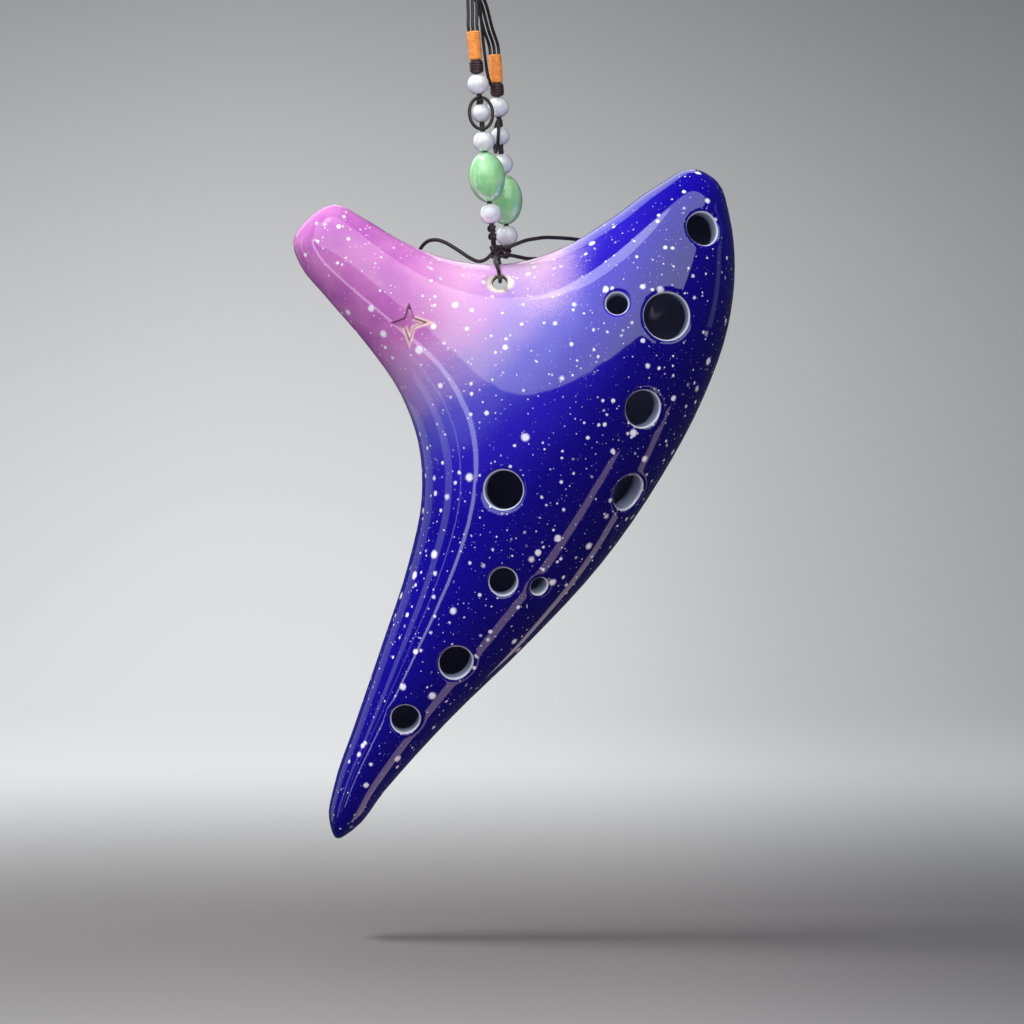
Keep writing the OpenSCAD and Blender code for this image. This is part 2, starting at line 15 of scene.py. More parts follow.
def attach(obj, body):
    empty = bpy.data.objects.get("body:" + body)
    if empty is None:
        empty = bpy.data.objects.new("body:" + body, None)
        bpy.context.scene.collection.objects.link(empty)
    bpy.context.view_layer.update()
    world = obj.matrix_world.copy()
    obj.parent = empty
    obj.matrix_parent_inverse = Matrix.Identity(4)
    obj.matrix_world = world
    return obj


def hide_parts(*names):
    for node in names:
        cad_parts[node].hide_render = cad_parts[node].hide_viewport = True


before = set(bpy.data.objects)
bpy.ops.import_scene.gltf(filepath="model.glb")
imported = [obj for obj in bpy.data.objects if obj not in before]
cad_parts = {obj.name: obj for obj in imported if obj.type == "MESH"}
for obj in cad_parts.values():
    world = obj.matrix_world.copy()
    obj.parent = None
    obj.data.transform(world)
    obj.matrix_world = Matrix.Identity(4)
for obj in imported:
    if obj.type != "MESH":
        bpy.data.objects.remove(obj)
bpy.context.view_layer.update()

MM = 0.001

# ------------------------------------------------------------------ the object's measures
# These follow part.scad: diameters and lengths, and distances down a side from its dark wrap.

DROP = 92.0
PIVOT_Z = 1.2
LEAN = math.radians(5.5)
CORD_D = 0.9
CORE_D = 1.2
STRAND_D = 0.75
STRAND_OFFSETS = (-1, 0, 1)
STRAND_STUB = 1.5
WRAP_D = 3.1
ORANGE_L = 6.6
DARK_L = 3.1
WHITE_D = 5.0
TOGGLE_D = 4.4
OVAL_D = 8.3
OVAL_L = 11.6
BORE_R = CORE_D / 2 + 0.06
FOOT_Z = 9.0
UPPER_BEAD_AT = 2.5
TOGGLE_AT = 9.2
MIDDLE_BEAD_AT = 15.7
OVAL_AT = 23.9
LOWER_BEAD_AT = 32.3
LOWER_END_AT = 34.8
GATHER_X = 0.6
GATHER_TOP = -17.0
GATHER_H = 6.0
JOIN_KNOT = (-0.1, 0.1, 7.5)

LANYARD_ROUTE = [
    (-0.3, -1.2, 6.3), (-0.5, -3, 5.9), (-0.7, -5, 5.5), (-0.8, -7, 5), (-0.8, -9, 4.5),
    (-0.6, -10.4, 4), (-0.4, -11.3, 3.4), (-0.2, -11.7, 2.6), (-0.1, -11.3, 1.8), (0, -10.3, 1.2),
    (0, -8, 1.2), (0, -5.5, 1.2), (0, -3, 1.2), (0, 0, 1.2), (0, 3, 1.2), (0, 5.5, 1.2),
    (0, 8, 1.2), (0, 10.3, 1.2), (0.1, 11.3, 1.8), (0.2, 11.7, 2.6), (0.3, 11.3, 3.4),
    (0.4, 10.4, 4), (0.4, 9, 4.5), (0.3, 7, 5), (0.2, 5, 5.5), (0.1, 3, 5.9), (0, 1.4, 6.3),
]
LEFT_TAIL_ROUTE = [
    (-1.3, 1, 7.2), (-2.7, 2.4, 6.2), (-4.4, 4, 5.9), (-6.3, 5.6, 6.9), (-8, 6.8, 8.3),
    (-9.8, 7.9, 9.8), (-11.8, 9, 11.3), (-13.9, 10, 12.2), (-15.9, 11, 12.1), (-17.5, 12, 10.9),
    (-18.6, 12.8, 9.1), (-19.3, 13.5, 7), (-19.8, 14.1, 4.7), (-20.2, 14.6, 2.4),
]
RIGHT_TAIL_ROUTE = [
    (1.3, 0.4, 7.9), (2.9, 0.5, 8.4), (4.8, 1.2, 9), (6.8, 2.5, 9.6), (9, 4.2, 9.9),
    (11.2, 6.3, 10.1), (13.4, 8.4, 10), (15.6, 10.5, 9.8), (17.8, 12.2, 9.5), (20, 14, 9),
    (22, 15.6, 8), (23.8, 17, 6.6), (25.2, 18.2, 4.9), (26.3, 19.2, 3),
]
SHORT_TAIL_ROUTE = [
    (1.4, 0.4, 6.7), (3.2, 1.5, 6.4), (4.9, 3.6, 6), (6.7, 5.9, 5.6), (8.5, 8.2, 5.5),
    (10.2, 10.4, 5.4), (12.1, 12.2, 5.2), (14.1, 14, 4.7), (16, 15.8, 4), (17.8, 17.4, 2.9),
    (19.4, 18.8, 1.5), (20.8, 20, -0.2),
]
MIDDLE_ROUTE = [
    (1.1, 0, 69), (1.2, 0, 67), (1.4, 0.3, 64), (1.4, 0.7, 61), (1.4, 1.1, 58),
    (1.4, 1.5, 55), (1.5, 1.8, 52), (1.6, 2.2, 49.5), (1.9, 2.6, 47.3), (2.4, 3.3, 45.6),
]
HANGING_ROUTE = [
    (-0.2, 0, -17.45), (-1, 0, -15.8), (-1.9, 0, -13.4), (-2.6, 0, -11), (-3, 0, -8.5),
    (-3.1, 0, -6), (-2.9, 0, -4), (-2.4, 0, -2.2), (-1.6, 0, -0.8), (-0.8, 0, -0.2), (0, 0, 0),
    (0.8, 0, -0.2), (1.6, 0, -0.8), (2.4, 0, -2.2), (2.9, 0, -4), (3.2, 0, -6),
    (3.3, 0, -8.5), (3.2, 0, -11), (2.8, 0, -13.4), (2.1, 0, -15.8), (1.4, 0, -17.45),
]
SIDES = {
    "left": {
        "foot": (-0.7, -3.4), "lean": 0.0, "wrap_top": 58.1, "turn": 0.0, "knots": 3.7,
        "depth": -1.0,
        "lead": [(-0.7, -3.4, 9.85), (-0.7, -3.2, 9.1), (-0.5, -2.3, 8.4), (-0.3, -1.3, 8.1)],
    },
    "right": {
        "foot": (2.5, 4.8), "lean": math.radians(1.6), "wrap_top": 53.2,
        "turn": math.radians(-80), "knots": 1.1, "depth": 1.0,
        "lead": [(2.4, 4.8, 7.6), (2.3, 4.4, 6.8), (1.8, 3.1, 6.4), (1, 1.5, 6.9)],
    },
}

RIM = [
    (-37.5, -127.5), (-39.3, -123), (-38.2, -115.5), (-33.5, -101.5), (-27, -82.5), (-21, -64),
    (-18, -49), (-18.8, -36.5), (-23, -25), (-31, -13.5), (-40, -3), (-46, 4.5),
    (-47.6, 9.7), (-44, 15.2), (-38, 18.4), (-32, 15.6), (-24.5, 11), (-14.5, 6.5),
    (-5, 4.6), (4, 5), (14, 8.2), (25.5, 15), (36, 22.5), (44.5, 26.5),
    (50, 23.5), (52.8, 15.5), (54, 4), (52.4, -10), (46.8, -26), (37, -44.5),
    (23.5, -64), (6.5, -82.5), (-12, -100.5), (-26.5, -116.5), (-33.8, -125.5),
]
CHAMBER = [
    (-26.5, -106), (-29, -102), (-22.3, -82.5), (-16.2, -64), (-13.2, -49), (-14, -36.5),
    (-18.5, -24), (-23.5, -15), (-21, -7), (-14, -2), (-7, -4.5), (0, -7),
    (10, 0), (20, 6), (32, 14.5), (41, 20.5), (46.5, 19.5), (49, 12),
    (49.7, 3), (48, -9.5), (42.5, -24.5), (33, -42), (19.8, -61), (3.3, -79.5),
    (-14.5, -97),
]
FINGER_HOLES = [
    (46.5, 12.2, 3.7), (26.5, -5.1, 2.4), (38, -8.1, 5.2), (32.7, -29.2, 4.1), (29.7, -48.3, 4.1),
    (0.7, -47.4, 4.3), (0.9, -68.3, 3), (9.2, -69.5, 1.9), (-9.7, -86.9, 3.7), (-21.3, -99.7, 3.1),
]
THUMB_HOLES = [(20, -22, 4.8), (-5, -62, 4.4)]
TIP = (-43.5, 13.0)
ARM = (math.cos(math.radians(-40)), math.sin(math.radians(-40)))
RIM_R, CHAMBER_R = 16.0, 11.0
TIP_SLIM = 0.64
FULL_AT = 85.0
MOUTHPIECE_L = 22.0
LANYARD_R = 1.7
DIMPLE_R = 4.2
WINDWAY_W, WINDWAY_H, WINDWAY_EXIT, WINDWAY_FLOOR = 11.0, 1.4, 31.0, -0.4
WINDWAY_SLOPE = math.radians(14.5)
WINDOW_L = 5.0
LABIUM_SLOPE = math.radians(24)
WINDWAY_BEFORE, WINDOW_BELOW, WINDOW_H = 8, 5, 20
RAMP_L, RAMP_H, OVERLAP = 24, 12, 0.5
STAR = (-20.7, -9.4)
STAR_R, STAR_DEPTH, STAR_WAIST = 4.2, 0.5, 0.36
DIMPLE_RISE = 0.6


def row(points):
    """Points in the ocarina's own axes, leant on the cord and put in the frame, in mm."""
    p = np.asarray(points, float)
    x, y, z = p[..., 0], p[..., 1], p[..., 2] - PIVOT_Z
    c, s = math.cos(LEAN), math.sin(LEAN)
    return np.stack([x * c + z * s, y, z * c - x * s + PIVOT_Z - DROP], -1)


def from_hole(points):
    """Points measured from the lanyard hole, in the frame, in mm."""
    return np.asarray(points, float) - (0, 0, DROP)


def on_side(side, points):
    """Points with the strand along Z from the dark wrap's lower end, in the frame, in mm."""
    s = SIDES[side]
    p = np.asarray(points, float)
    reach = s["wrap_top"] - ORANGE_L - DARK_L - FOOT_Z
    c, n = math.cos(s["lean"]), math.sin(s["lean"])
    x, y, z = p[..., 0], p[..., 1], p[..., 2] + reach
    out = [s["foot"][0] + x * c + z * n, s["foot"][1] + y, FOOT_Z + z * c - x * n]
    return from_hole(np.stack(out, -1))


# ------------------------------------------------------------------ camera

VIEW_CENTRE = (2.76, 0.0, -52.4)
VIEW_WIDTH = 235.5
CAMERA_DISTANCE = 1.0


def add_object(name, data):
    made = bpy.data.objects.new(name, data)
    bpy.context.scene.collection.objects.link(made)
    return made


def make_camera():
    """A camera level with the object, rolled by the lean so that the outline stands as drawn."""
    data = bpy.data.cameras.new("camera")
    camera = add_object("camera", data)
    data.sensor_width = 36
    data.lens = data.sensor_width * CAMERA_DISTANCE / (VIEW_WIDTH * MM)
    centre = row(VIEW_CENTRE) * MM
    right = Vector((math.cos(LEAN), 0, -math.sin(LEAN)))
    up = Vector((math.sin(LEAN), 0, math.cos(LEAN)))
    back = Vector((0, -1, 0))
    turn = Matrix((right, up, back)).transposed().to_4x4()
    camera.matrix_world = Matrix.Translation(Vector(centre) + back * CAMERA_DISTANCE) @ turn
    bpy.context.scene.camera = camera


make_camera()

# ------------------------------------------------------------------ mesh tools

CURVE_STEPS = 12


def make_piece(name, parts, body, nodes, material):
    """One mesh from closed parts in mm, riding on a body in place of CAD nodes."""
    points, faces, count = [], [], 0
    for some_points, some_faces in parts:
        points.append(np.asarray(some_points, float))
        faces += [tuple(i + count for i in face) for face in some_faces]
        count += len(some_points)
    mesh = bpy.data.meshes.new(name)
    mesh.from_pydata((np.concatenate(points) * MM).tolist(), [], faces)
    mesh.polygons.foreach_set("use_smooth", [True] * len(mesh.polygons))
    mesh.materials.append(material)
    mesh.update()
    piece = add_object(name, mesh)
    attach(piece, body)
    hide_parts(*nodes)
    return piece


def ring_faces(m, n, closed=False):
    """Faces of m rings of n points each; open ends get a fan round two further points."""
    faces = []
    for j in range(m if closed else m - 1):
        k = (j + 1) % m
        for i in range(n):
            i2 = (i + 1) % n
            faces.append((j * n + i, j * n + i2, k * n + i2, k * n + i))
    if not closed:
        for i in range(n):
            faces.append((m * n, (i + 1) % n, i))
            faces.append((m * n + 1, (m - 1) * n + i, (m - 1) * n + (i + 1) % n))
    return faces


def curve_between(a, b, c, d, t):
    """Points from b to c on a smooth curve through a, b, c and d, at shares t of the way."""
    l0, l1, l2 = (np.maximum(np.linalg.norm(v, axis=-1, keepdims=True), 1e-6)
                  for v in (b - a, c - b, d - c))
    mb = l1 * ((b - a) * l1 / l0 + (c - b) * l0 / l1) / (l0 + l1)
    mc = l1 * ((c - b) * l2 / l1 + (d - c) * l1 / l2) / (l1 + l2)
    return ((2 * t**3 - 3 * t**2 + 1) * b + (t**3 - 2 * t**2 + t) * mb
            + (3 * t**2 - 2 * t**3) * c + (t**3 - t**2) * mc)


def smooth_path(points, step, closed=False):
    """A smooth curve through the points, sampled about a step apart."""
    p = np.asarray(points, float)
    if closed:
        a, b, c, d = (np.roll(p, k, 0) for k in (1, 0, -1, -2))
    else:
        b, c = p[:-1], p[1:]
        a = np.concatenate([2 * p[:1] - p[1:2], p[:-2]])
        d = np.concatenate([p[2:], 2 * p[-1:] - p[-2:-1]])
    t = np.linspace(0, 1, CURVE_STEPS, endpoint=False)[:, None]
    fine = [curve_between(*four, t) for four in zip(a, b, c, d)]
    fine = np.concatenate(fine + [p[:1] if closed else p[-1:]])
    along = np.concatenate([[0], np.cumsum(np.linalg.norm(np.diff(fine, axis=0), axis=1))])
    count = max(4, int(round(along[-1] / step)))
    at = np.linspace(0, along[-1], count + 1)
    out = np.stack([np.interp(at, along, fine[:, k]) for k in range(3)], 1)
    return out[:-1] if closed else out


def frames_along(path, closed=False):
    """Two directions across the path at each point, carried along without twist."""
    n = len(path)
    if closed:
        along = np.roll(path, -1, 0) - np.roll(path, 1, 0)
    else:
        along = np.gradient(path, axis=0)
    along /= np.linalg.norm(along, axis=1)[:, None]
    guide = np.eye(3)[np.argmin(np.abs(along[0]))]
    u = np.cross(along[0], guide)
    u /= np.linalg.norm(u)
    us = []
    for t in along:
        u = u - t * (u @ t)
        u /= np.linalg.norm(u)
        us.append(u)
    us = np.array(us)
    if closed:
        last = us[-1] - along[0] * (us[-1] @ along[0])
        last /= np.linalg.norm(last)
        miss = math.atan2(np.cross(us[0], last) @ along[0], us[0] @ last)
        turn = -miss * np.arange(n) / n
        vs = np.cross(along, us)
        us = us * np.cos(turn)[:, None] + vs * np.sin(turn)[:, None]
    return us, np.cross(along, us)


def cord_tube(path, radius, plies=3, lay=2.4, groove=0.1, sides=24, closed=False):
    """A cord of twisted plies swept along a path; lay is one turn's length in mm."""
    us, vs = frames_along(path, closed)
    steps = np.linalg.norm(np.diff(path, axis=0), axis=1)
    s = np.concatenate([[0], np.cumsum(steps)])
    n = len(path)
    if closed:
        whole = s[-1] + np.linalg.norm(path[0] - path[-1])
        turns = max(1, round(whole / lay))
        lay = whole / turns
    a = np.arange(sides) * 2 * math.pi / sides
    phase = plies / 2 * (a[None] - 2 * math.pi * s[:, None] / lay)
    r = radius * (1 - groove * (1 - np.abs(np.cos(phase)) ** 0.7))
    if not closed:
        left = np.minimum(s, s[-1] - s)
        reach = np.clip(left / (radius * 0.8), 0, 1)
        r = r * np.sqrt(1 - (1 - reach) ** 2 * 0.9)[:, None]
    rings = (path[:, None] + r[..., None] * (np.cos(a)[None, :, None] * us[:, None]
                                             + np.sin(a)[None, :, None] * vs[:, None]))
    points = rings.reshape(-1, 3)
    if not closed:
        points = np.concatenate([points, path[:1], path[-1:]])
    return points, ring_faces(n, sides, closed)


def lathe(profile, sides, ripple):
    """A closed profile of (r, z) pairs turned about Z; ripple adds to r by angle and height."""
    p = np.asarray(profile, float)
    a = np.arange(sides) * 2 * math.pi / sides
    r = np.repeat(p[:, :1], sides, 1)
    z = np.repeat(p[:, 1:], sides, 1)
    r = r + ripple(a[None], z, r)
    points = np.stack([r * np.cos(a), r * np.sin(a), z], -1).reshape(-1, 3)
    return points, ring_faces(len(p), sides, closed=True)


def wound(radius, z0, z1, thread, lean=1.0, sides=40, taper=0.5):
    """Thread wound in close turns between two heights, as one closed solid."""
    count = int((z1 - z0) / thread * 9)
    z = np.linspace(z0, z1, count)
    a = np.arange(sides) * 2 * math.pi / sides
    turn = (z[:, None] - z0) / thread - lean * a[None] / (2 * math.pi)
    across = 2 * (turn - np.floor(turn)) - 1
    bump = np.sqrt(np.maximum(1 - (across * 0.97) ** 2, 0))
    ends = np.clip(np.minimum(z - z0, z1 - z) / taper, 0, 1)[:, None]
    r = (radius - thread * 0.5 + thread * 0.5 * bump) - (1 - np.sqrt(1 - (1 - ends) ** 2)) * taper
    points = np.stack([r * np.cos(a), r * np.sin(a), np.repeat(z[:, None], sides, 1)], -1)
    points = np.concatenate([points.reshape(-1, 3), [(0, 0, z0), (0, 0, z1)]])
    return points, ring_faces(count, sides)


def turks_head(ring_r, swell, half_h, cord_r, leads=3, bights=4, step=0.25):
    """A closed braid of one cord round the Z axis."""
    t = np.linspace(0, 2 * math.pi, 240, endpoint=False)
    r = ring_r + swell * np.sin(2 * bights * t)
    path = np.stack([r * np.cos(leads * t), r * np.sin(leads * t), half_h * np.cos(bights * t)], 1)
    path = smooth_path(path[::3], step, closed=True)
    return cord_tube(path, cord_r, closed=True, sides=16)


def overhand(radius, cord_r, along, centre):
    """A small overhand knot, closed on itself, about an axis."""
    t = np.linspace(0, 2 * math.pi, 48, endpoint=False)
    knot = np.stack([np.sin(t) + 2 * np.sin(2 * t), np.cos(t) - 2 * np.cos(2 * t),
                     -1.6 * np.sin(3 * t)], 1) * radius / 3
    axis = Vector(along).to_track_quat("Z", "Y").to_matrix()
    path = knot @ np.array(axis).T + centre
    return cord_tube(smooth_path(path, cord_r * 0.4, closed=True), cord_r, closed=True, sides=16)


# ------------------------------------------------------------------ node tools


class Nodes:
    """Short calls for building a material's nodes."""

    def __init__(self, name):
        self.material = bpy.data.materials.new(name)
        self.material.use_nodes = True
        self.tree = self.material.node_tree
        self.tree.nodes.clear()
        self.out = self.tree.nodes.new("ShaderNodeOutputMaterial")
        self.shader = self.tree.nodes.new("ShaderNodeBsdfPrincipled")
        self.tree.links.new(self.shader.outputs[0], self.out.inputs["Surface"])
        self.place = self.tree.nodes.new("ShaderNodeTexCoord").outputs["Object"]

    def put(self, socket, value):
        if isinstance(value, bpy.types.NodeSocket):
            self.tree.links.new(value, socket)
        elif value is not None:
            if hasattr(socket.default_value, "__len__") and not hasattr(value, "__len__"):
                value = [value] * len(socket.default_value)
            if hasattr(value, "__len__") and len(value) == 3 and len(socket.default_value) == 4:
                value = (*value, 1)
            socket.default_value = value

    def set(self, **values):
        for key, value in values.items():
            self.put(self.shader.inputs[key.replace("_", " ")], value)

    def new(self, kind, output=0, inputs=(), **settings):
        node = self.tree.nodes.new("ShaderNode" + kind)
        for key, value in settings.items():
            setattr(node, key, value)
        for key, value in dict(inputs).items():
            self.put(node.inputs[key], value)
        return node.outputs[output]

    def math(self, operation, a, b=None, c=None):
        node = self.tree.nodes.new("ShaderNodeMath")
        node.operation = operation
        for socket, value in zip(node.inputs, (a, b, c)):
            self.put(socket, value)
        return node.outputs[0]

    def vector(self, operation, a, b=None, scale=None, output="Vector"):
        node = self.tree.nodes.new("ShaderNodeVectorMath")
        node.operation = operation
        self.put(node.inputs[0], a)
        self.put(node.inputs[1], b)
        if scale is not None:
            self.put(node.inputs["Scale"], scale)
        return node.outputs[output]

    def noise(self, scale, detail=2.0, rough=0.5, vector=None, output="Fac"):
        return self.new("TexNoise", output, {
            "Vector": vector or self.place, "Scale": scale, "Detail": detail, "Roughness": rough})

    def fit(self, value, low, high, new_low=0.0, new_high=1.0, smooth=True):
        node = self.tree.nodes.new("ShaderNodeMapRange")
        node.interpolation_type = "SMOOTHSTEP" if smooth else "LINEAR"
        for key, v in (("Value", value), ("From Min", low), ("From Max", high),
                       ("To Min", new_low), ("To Max", new_high)):
            self.put(node.inputs[key], v)
        return node.outputs[0]

    def mix(self, factor, a, b):
        node = self.tree.nodes.new("ShaderNodeMix")
        node.data_type = "RGBA"
        self.put(node.inputs["Factor"], factor)
        self.put(node.inputs["A"], a)
        self.put(node.inputs["B"], b)
        node.clamp_factor = True
        return node.outputs["Result"]

    def attribute(self, name):
        return self.new("Attribute", "Fac", attribute_name=name)

    def bump(self, height, strength, distance):
        self.set(Normal=self.new("Bump", 0, {
            "Height": height, "Strength": strength, "Distance": distance}))


def srgb(r, g, b):
    """A colour given in 0 to 255 screen values, as linear light."""
    def one(c):
        c /= 255
        return c / 12.92 if c <= 0.04045 else ((c + 0.055) / 1.055) ** 2.4
    return one(r), one(g), one(b)


# ------------------------------------------------------------------ materials of cord and beads


def fibre_material(name, dark, light, scales, share, spread, bump, **shader):
    """Fine fibres over broader patches; the scales are the noise's, the fibres' first."""
    n = Nodes(name)
    fibre, patch = n.noise(scales[0], 3, 0.7), n.noise(scales[1], 2)
    both = n.math("MULTIPLY_ADD", fibre, share, n.math("MULTIPLY", patch, 1 - share))
    if isinstance(shader["Roughness"], tuple):
        shader["Roughness"] = n.fit(patch, 0.3, 0.7, *shader["Roughness"])
    n.set(Base_Color=n.mix(n.fit(both, *spread), dark, light), **shader)
    n.bump(fibre, *bump)
    return n.material


def thread_material(name, dark, light, rough):
    return fibre_material(name, dark, light, (14000, 900), 0.5, (0.35, 0.65), (0.16, 0.00003),
                          Roughness=rough, Sheen_Weight=0.15, Sheen_Roughness=0.35)


def stone_material(name, base, cloud, depth, rough):
    """A translucent polished stone, clouded inside."""
    n = Nodes(name)
    veil = n.noise(260, 4, 0.6)
    vein = n.noise(700, 3, 0.55)
    colour = n.mix(n.fit(veil, 0.35, 0.68), base, cloud)
    colour = n.mix(n.fit(vein, 0.52, 0.75, 0, 0.35), colour, depth)
    n.set(Base_Color=colour, Roughness=n.fit(vein, 0.3, 0.8, rough, rough + 0.1),
          IOR=1.54, Subsurface_Weight=0.75, Subsurface_Scale=0.0022,
          Subsurface_Radius=(1.0, 0.95, 0.9), Transmission_Weight=0.2,
          Coat_Weight=0.3, Coat_Roughness=0.06)
    n.bump(n.noise(900, 2), 0.12, 0.00004)
    return n.material


WAXED = fibre_material("waxed_cord", srgb(15, 11, 12), srgb(46, 36, 36), (9000, 500), 0.6,
                       (0.35, 0.7), (0.25, 0.00006), Roughness=(0.32, 0.52),
                       Specular_IOR_Level=0.5, Sheen_Weight=0.15, Sheen_Roughness=0.4)
ORANGE = thread_material("orange_thread", srgb(240, 138, 54), srgb(255, 172, 86), 0.42)
BROWN = thread_material("dark_thread", srgb(36, 20, 24), srgb(70, 46, 47), 0.36)
WHITE = stone_material("milky_stone", srgb(226, 230, 240), srgb(240, 242, 246),
                       srgb(208, 214, 228), 0.08)
JADE = stone_material("green_stone", srgb(156, 220, 162), srgb(182, 232, 180),
                      srgb(132, 206, 144), 0.08)

# ------------------------------------------------------------------ cords

CORD_STEP = 0.3
DOUBLED = {"radius": CORE_D / 2, "plies": 2, "lay": 3.2, "groove": 0.12}
THIN = {"radius": STRAND_D / 2, "plies": 3, "lay": 2.2}


def neck_line(side, offset):
    """The route of one thin strand, from inside a wrap up to the gather knot."""
    s = SIDES[side]
    start = on_side(side, (offset, 0, DARK_L + ORANGE_L - STRAND_STUB))
    top_x = s["foot"][0] + (s["wrap_top"] - FOOT_Z) * math.sin(s["lean"])
    low = np.array([top_x + offset, s["foot"][1], s["wrap_top"] - DROP])
    high = np.array([GATHER_X + 0.6 * s["depth"] + offset, s["depth"], GATHER_TOP - GATHER_H])
    stub = np.array((0, 0, STRAND_STUB))
    return [start, low, low + stub, low * 0.62 + high * 0.38, low * 0.32 + high * 0.68,
            high - stub, high, high + 0.8 * stub]


def side_line(side, low, high):
    return [on_side(side, (0, 0, z)) for z in np.linspace(low, high, 8)]


def small_knot(side, radius, cord_r, lean, height):
    """A small knot on a side's strand, that height above the dark wrap's lower end."""
    points, faces = overhand(radius, cord_r, lean, (0, 0, height))
    return on_side(side, points), faces


def make_side_cord(side):
    """All the strands of one side, from the join knot to the gather knot, and their route."""
    s = SIDES[side]
    stop = -TOGGLE_AT + TOGGLE_D / 2
    lower = list(from_hole(s["lead"][::-1]))
    lower += side_line(side, -LOWER_END_AT - s["knots"] * 0.5, stop + 0.4)[1:]
    upper = side_line(side, -TOGGLE_AT + 3.4, DARK_L + ORANGE_L - 1)
    parts = [cord_tube(smooth_path(lower, CORD_STEP), **DOUBLED),
             small_knot(side, 0.62, 0.3, (0, 0, 1), stop + 0.32),
             cord_tube(smooth_path(upper, CORD_STEP), **DOUBLED)]
    parts += [cord_tube(smooth_path(neck_line(side, offset), CORD_STEP), **THIN)
              for offset in STRAND_OFFSETS]
    nodes = [side + n for n in ("_lead", "_lower_strand", "_upper_strand", "_neck_strands")]
    route = smooth_path(lower + upper[1:] + neck_line(side, 0)[1:-1], 0.8)
    return cord_piece(side + "_side_cord", parts, nodes), route


def cord_piece(name, parts, nodes):
    return make_piece(name, parts, "neck_cord", nodes, WAXED)


def single_cord(name, route, radius, nodes, **options):
    path = smooth_path(route, CORD_STEP)
    return cord_piece(name, [cord_tube(path, radius, **options)], nodes), path


def join_knot():
    points, faces = turks_head(1.05, 0.32, 1.15, 0.44)
    core = smooth_path(from_hole([np.add(JOIN_KNOT, (0, 0, z)) for z in (-1.5, 0, 1.5)]), 0.3)
    return [(from_hole(points + JOIN_KNOT), faces),
            cord_tube(core, 0.85, plies=4, lay=4, sides=20)]


def gather_knot():
    centre = np.array([GATHER_X, 0, GATHER_TOP - GATHER_H / 2])
    points, faces = turks_head(2.0, 0.5, 2.35, 0.62)
    core = smooth_path([centre + (0, 0, z) for z in np.linspace(-2.9, 2.9, 6)], 0.4)
    return [(points + centre, faces), cord_tube(core, 1.75, plies=6, lay=9, sides=36)]


def make_side_knots(side):
    """The knots that a side's beads rest on: two where there is room, or one."""
    length = SIDES[side]["knots"]
    shares = (0.26, 0.76) if length > 2 else (0.5,)
    parts = [small_knot(side, 0.78, 0.36, (0.2, 0.3, 1), -LOWER_END_AT - length * share)
             for share in shares]
    return cord_piece(side + "_bead_knots", parts, [side + "_knots"])


def make_toggle_loop(side):
    """The loop that closes over the toggle bead, one cord with a small knot at its head."""
    half_w, half_h, bulge, radius = 2.65, 3.7, 1.25, 0.4
    a = np.radians(np.linspace(9, 351, 24))
    x, y, z = half_w * np.sin(a), -bulge * np.sin(a / 2), half_h * np.cos(a) - TOGGLE_AT
    c, n = math.cos(SIDES[side]["turn"]), math.sin(SIDES[side]["turn"])
    path = smooth_path(on_side(side, np.stack([x * c - y * n, x * n + y * c, z], 1)), 0.25)
    parts = [cord_tube(path, radius, plies=3, lay=2.2),
             small_knot(side, 0.6, 0.3, (0, 0, 1), half_h - TOGGLE_AT - 0.38)]
    return cord_piece(side + "_toggle_cord", parts, [side + "_toggle_loop"])


def end_of(route):
    """The last point of a route, and the direction it ends in."""
    end, before = np.array(route[-1], float), np.array(route[-2], float)
    return end, (end - before) / np.linalg.norm(end - before)


def into_knot(route):
    """The route carried on into the knot at its end."""
    end, along = end_of(route)
    return list(route) + [end + 0.9 * along]


def make_tail_knot(name, route):
    end, along = end_of(route)
    knot = overhand(0.72, 0.38, tuple(along), from_hole(end + 0.7 * along))
    return cord_piece(name + "_stop_knot", [knot], [name + "_knot"])


BEADS = {
    "upper_bead": (UPPER_BEAD_AT, WHITE_D), "toggle_bead": (TOGGLE_AT, TOGGLE_D),
    "middle_bead": (MIDDLE_BEAD_AT, WHITE_D), "oval_bead": (OVAL_AT, OVAL_D),
    "lower_bead": (LOWER_BEAD_AT, WHITE_D),
}


def bead_profile(half_w, half_h):
    """Half an oval with a bore whose mouths are rounded, as a closed (r, z) loop."""
    lip = 0.18
    low = math.asin(math.sqrt(1 - ((BORE_R + lip) / half_w) ** 2))
    a = np.linspace(-low, low, 40)
    outer = np.stack([half_w * np.cos(a), half_h * np.sin(a)], 1)
    end = outer[-1, 1]
    mouth = [(BORE_R + lip * (1 - math.sin(t)), end - lip * 0.25 - lip * (1 - math.cos(t)) * 0.9)
             for t in np.radians((25, 50, 90))]
    bore = [(BORE_R, z) for z in np.linspace(end - lip * 1.5, -end + lip * 1.5, 7)]
    return np.array(list(outer) + mouth + bore + [(r, -z) for r, z in mouth[::-1]])


def make_bead(side, kind, order):
    """A bead, a little uneven, that turns on its strand."""
    at, d = BEADS[kind]
    oval = kind == "oval_bead"
    half_h = OVAL_L / 2 if oval else d / 2 * 0.97
    rng = np.random.default_rng(100 + order)
    waves = rng.uniform(-1, 1, (3, 2)) * (0.006, 0.004)
    shift = rng.uniform(0, 6.3, 3)

    def ripple(a, z, r):
        share = np.clip((r - BORE_R) / (d / 2 - BORE_R), 0, 1)
        wave = sum(waves[k, 0] * np.sin((k + 1) * a + shift[k]) * np.cos(z / half_h * (k + 1))
                   for k in range(3))
        return share * wave * d
    points, faces = lathe(bead_profile(d / 2 * 0.995, half_h), 64, ripple)
    faces = [f[::-1] for f in faces]
    points = on_side(side, points - (0, 0, at))
    node = side + "_" + kind
    return make_piece(node + "_stone", [(points, faces)], node, [node],
                      JADE if oval else WHITE)


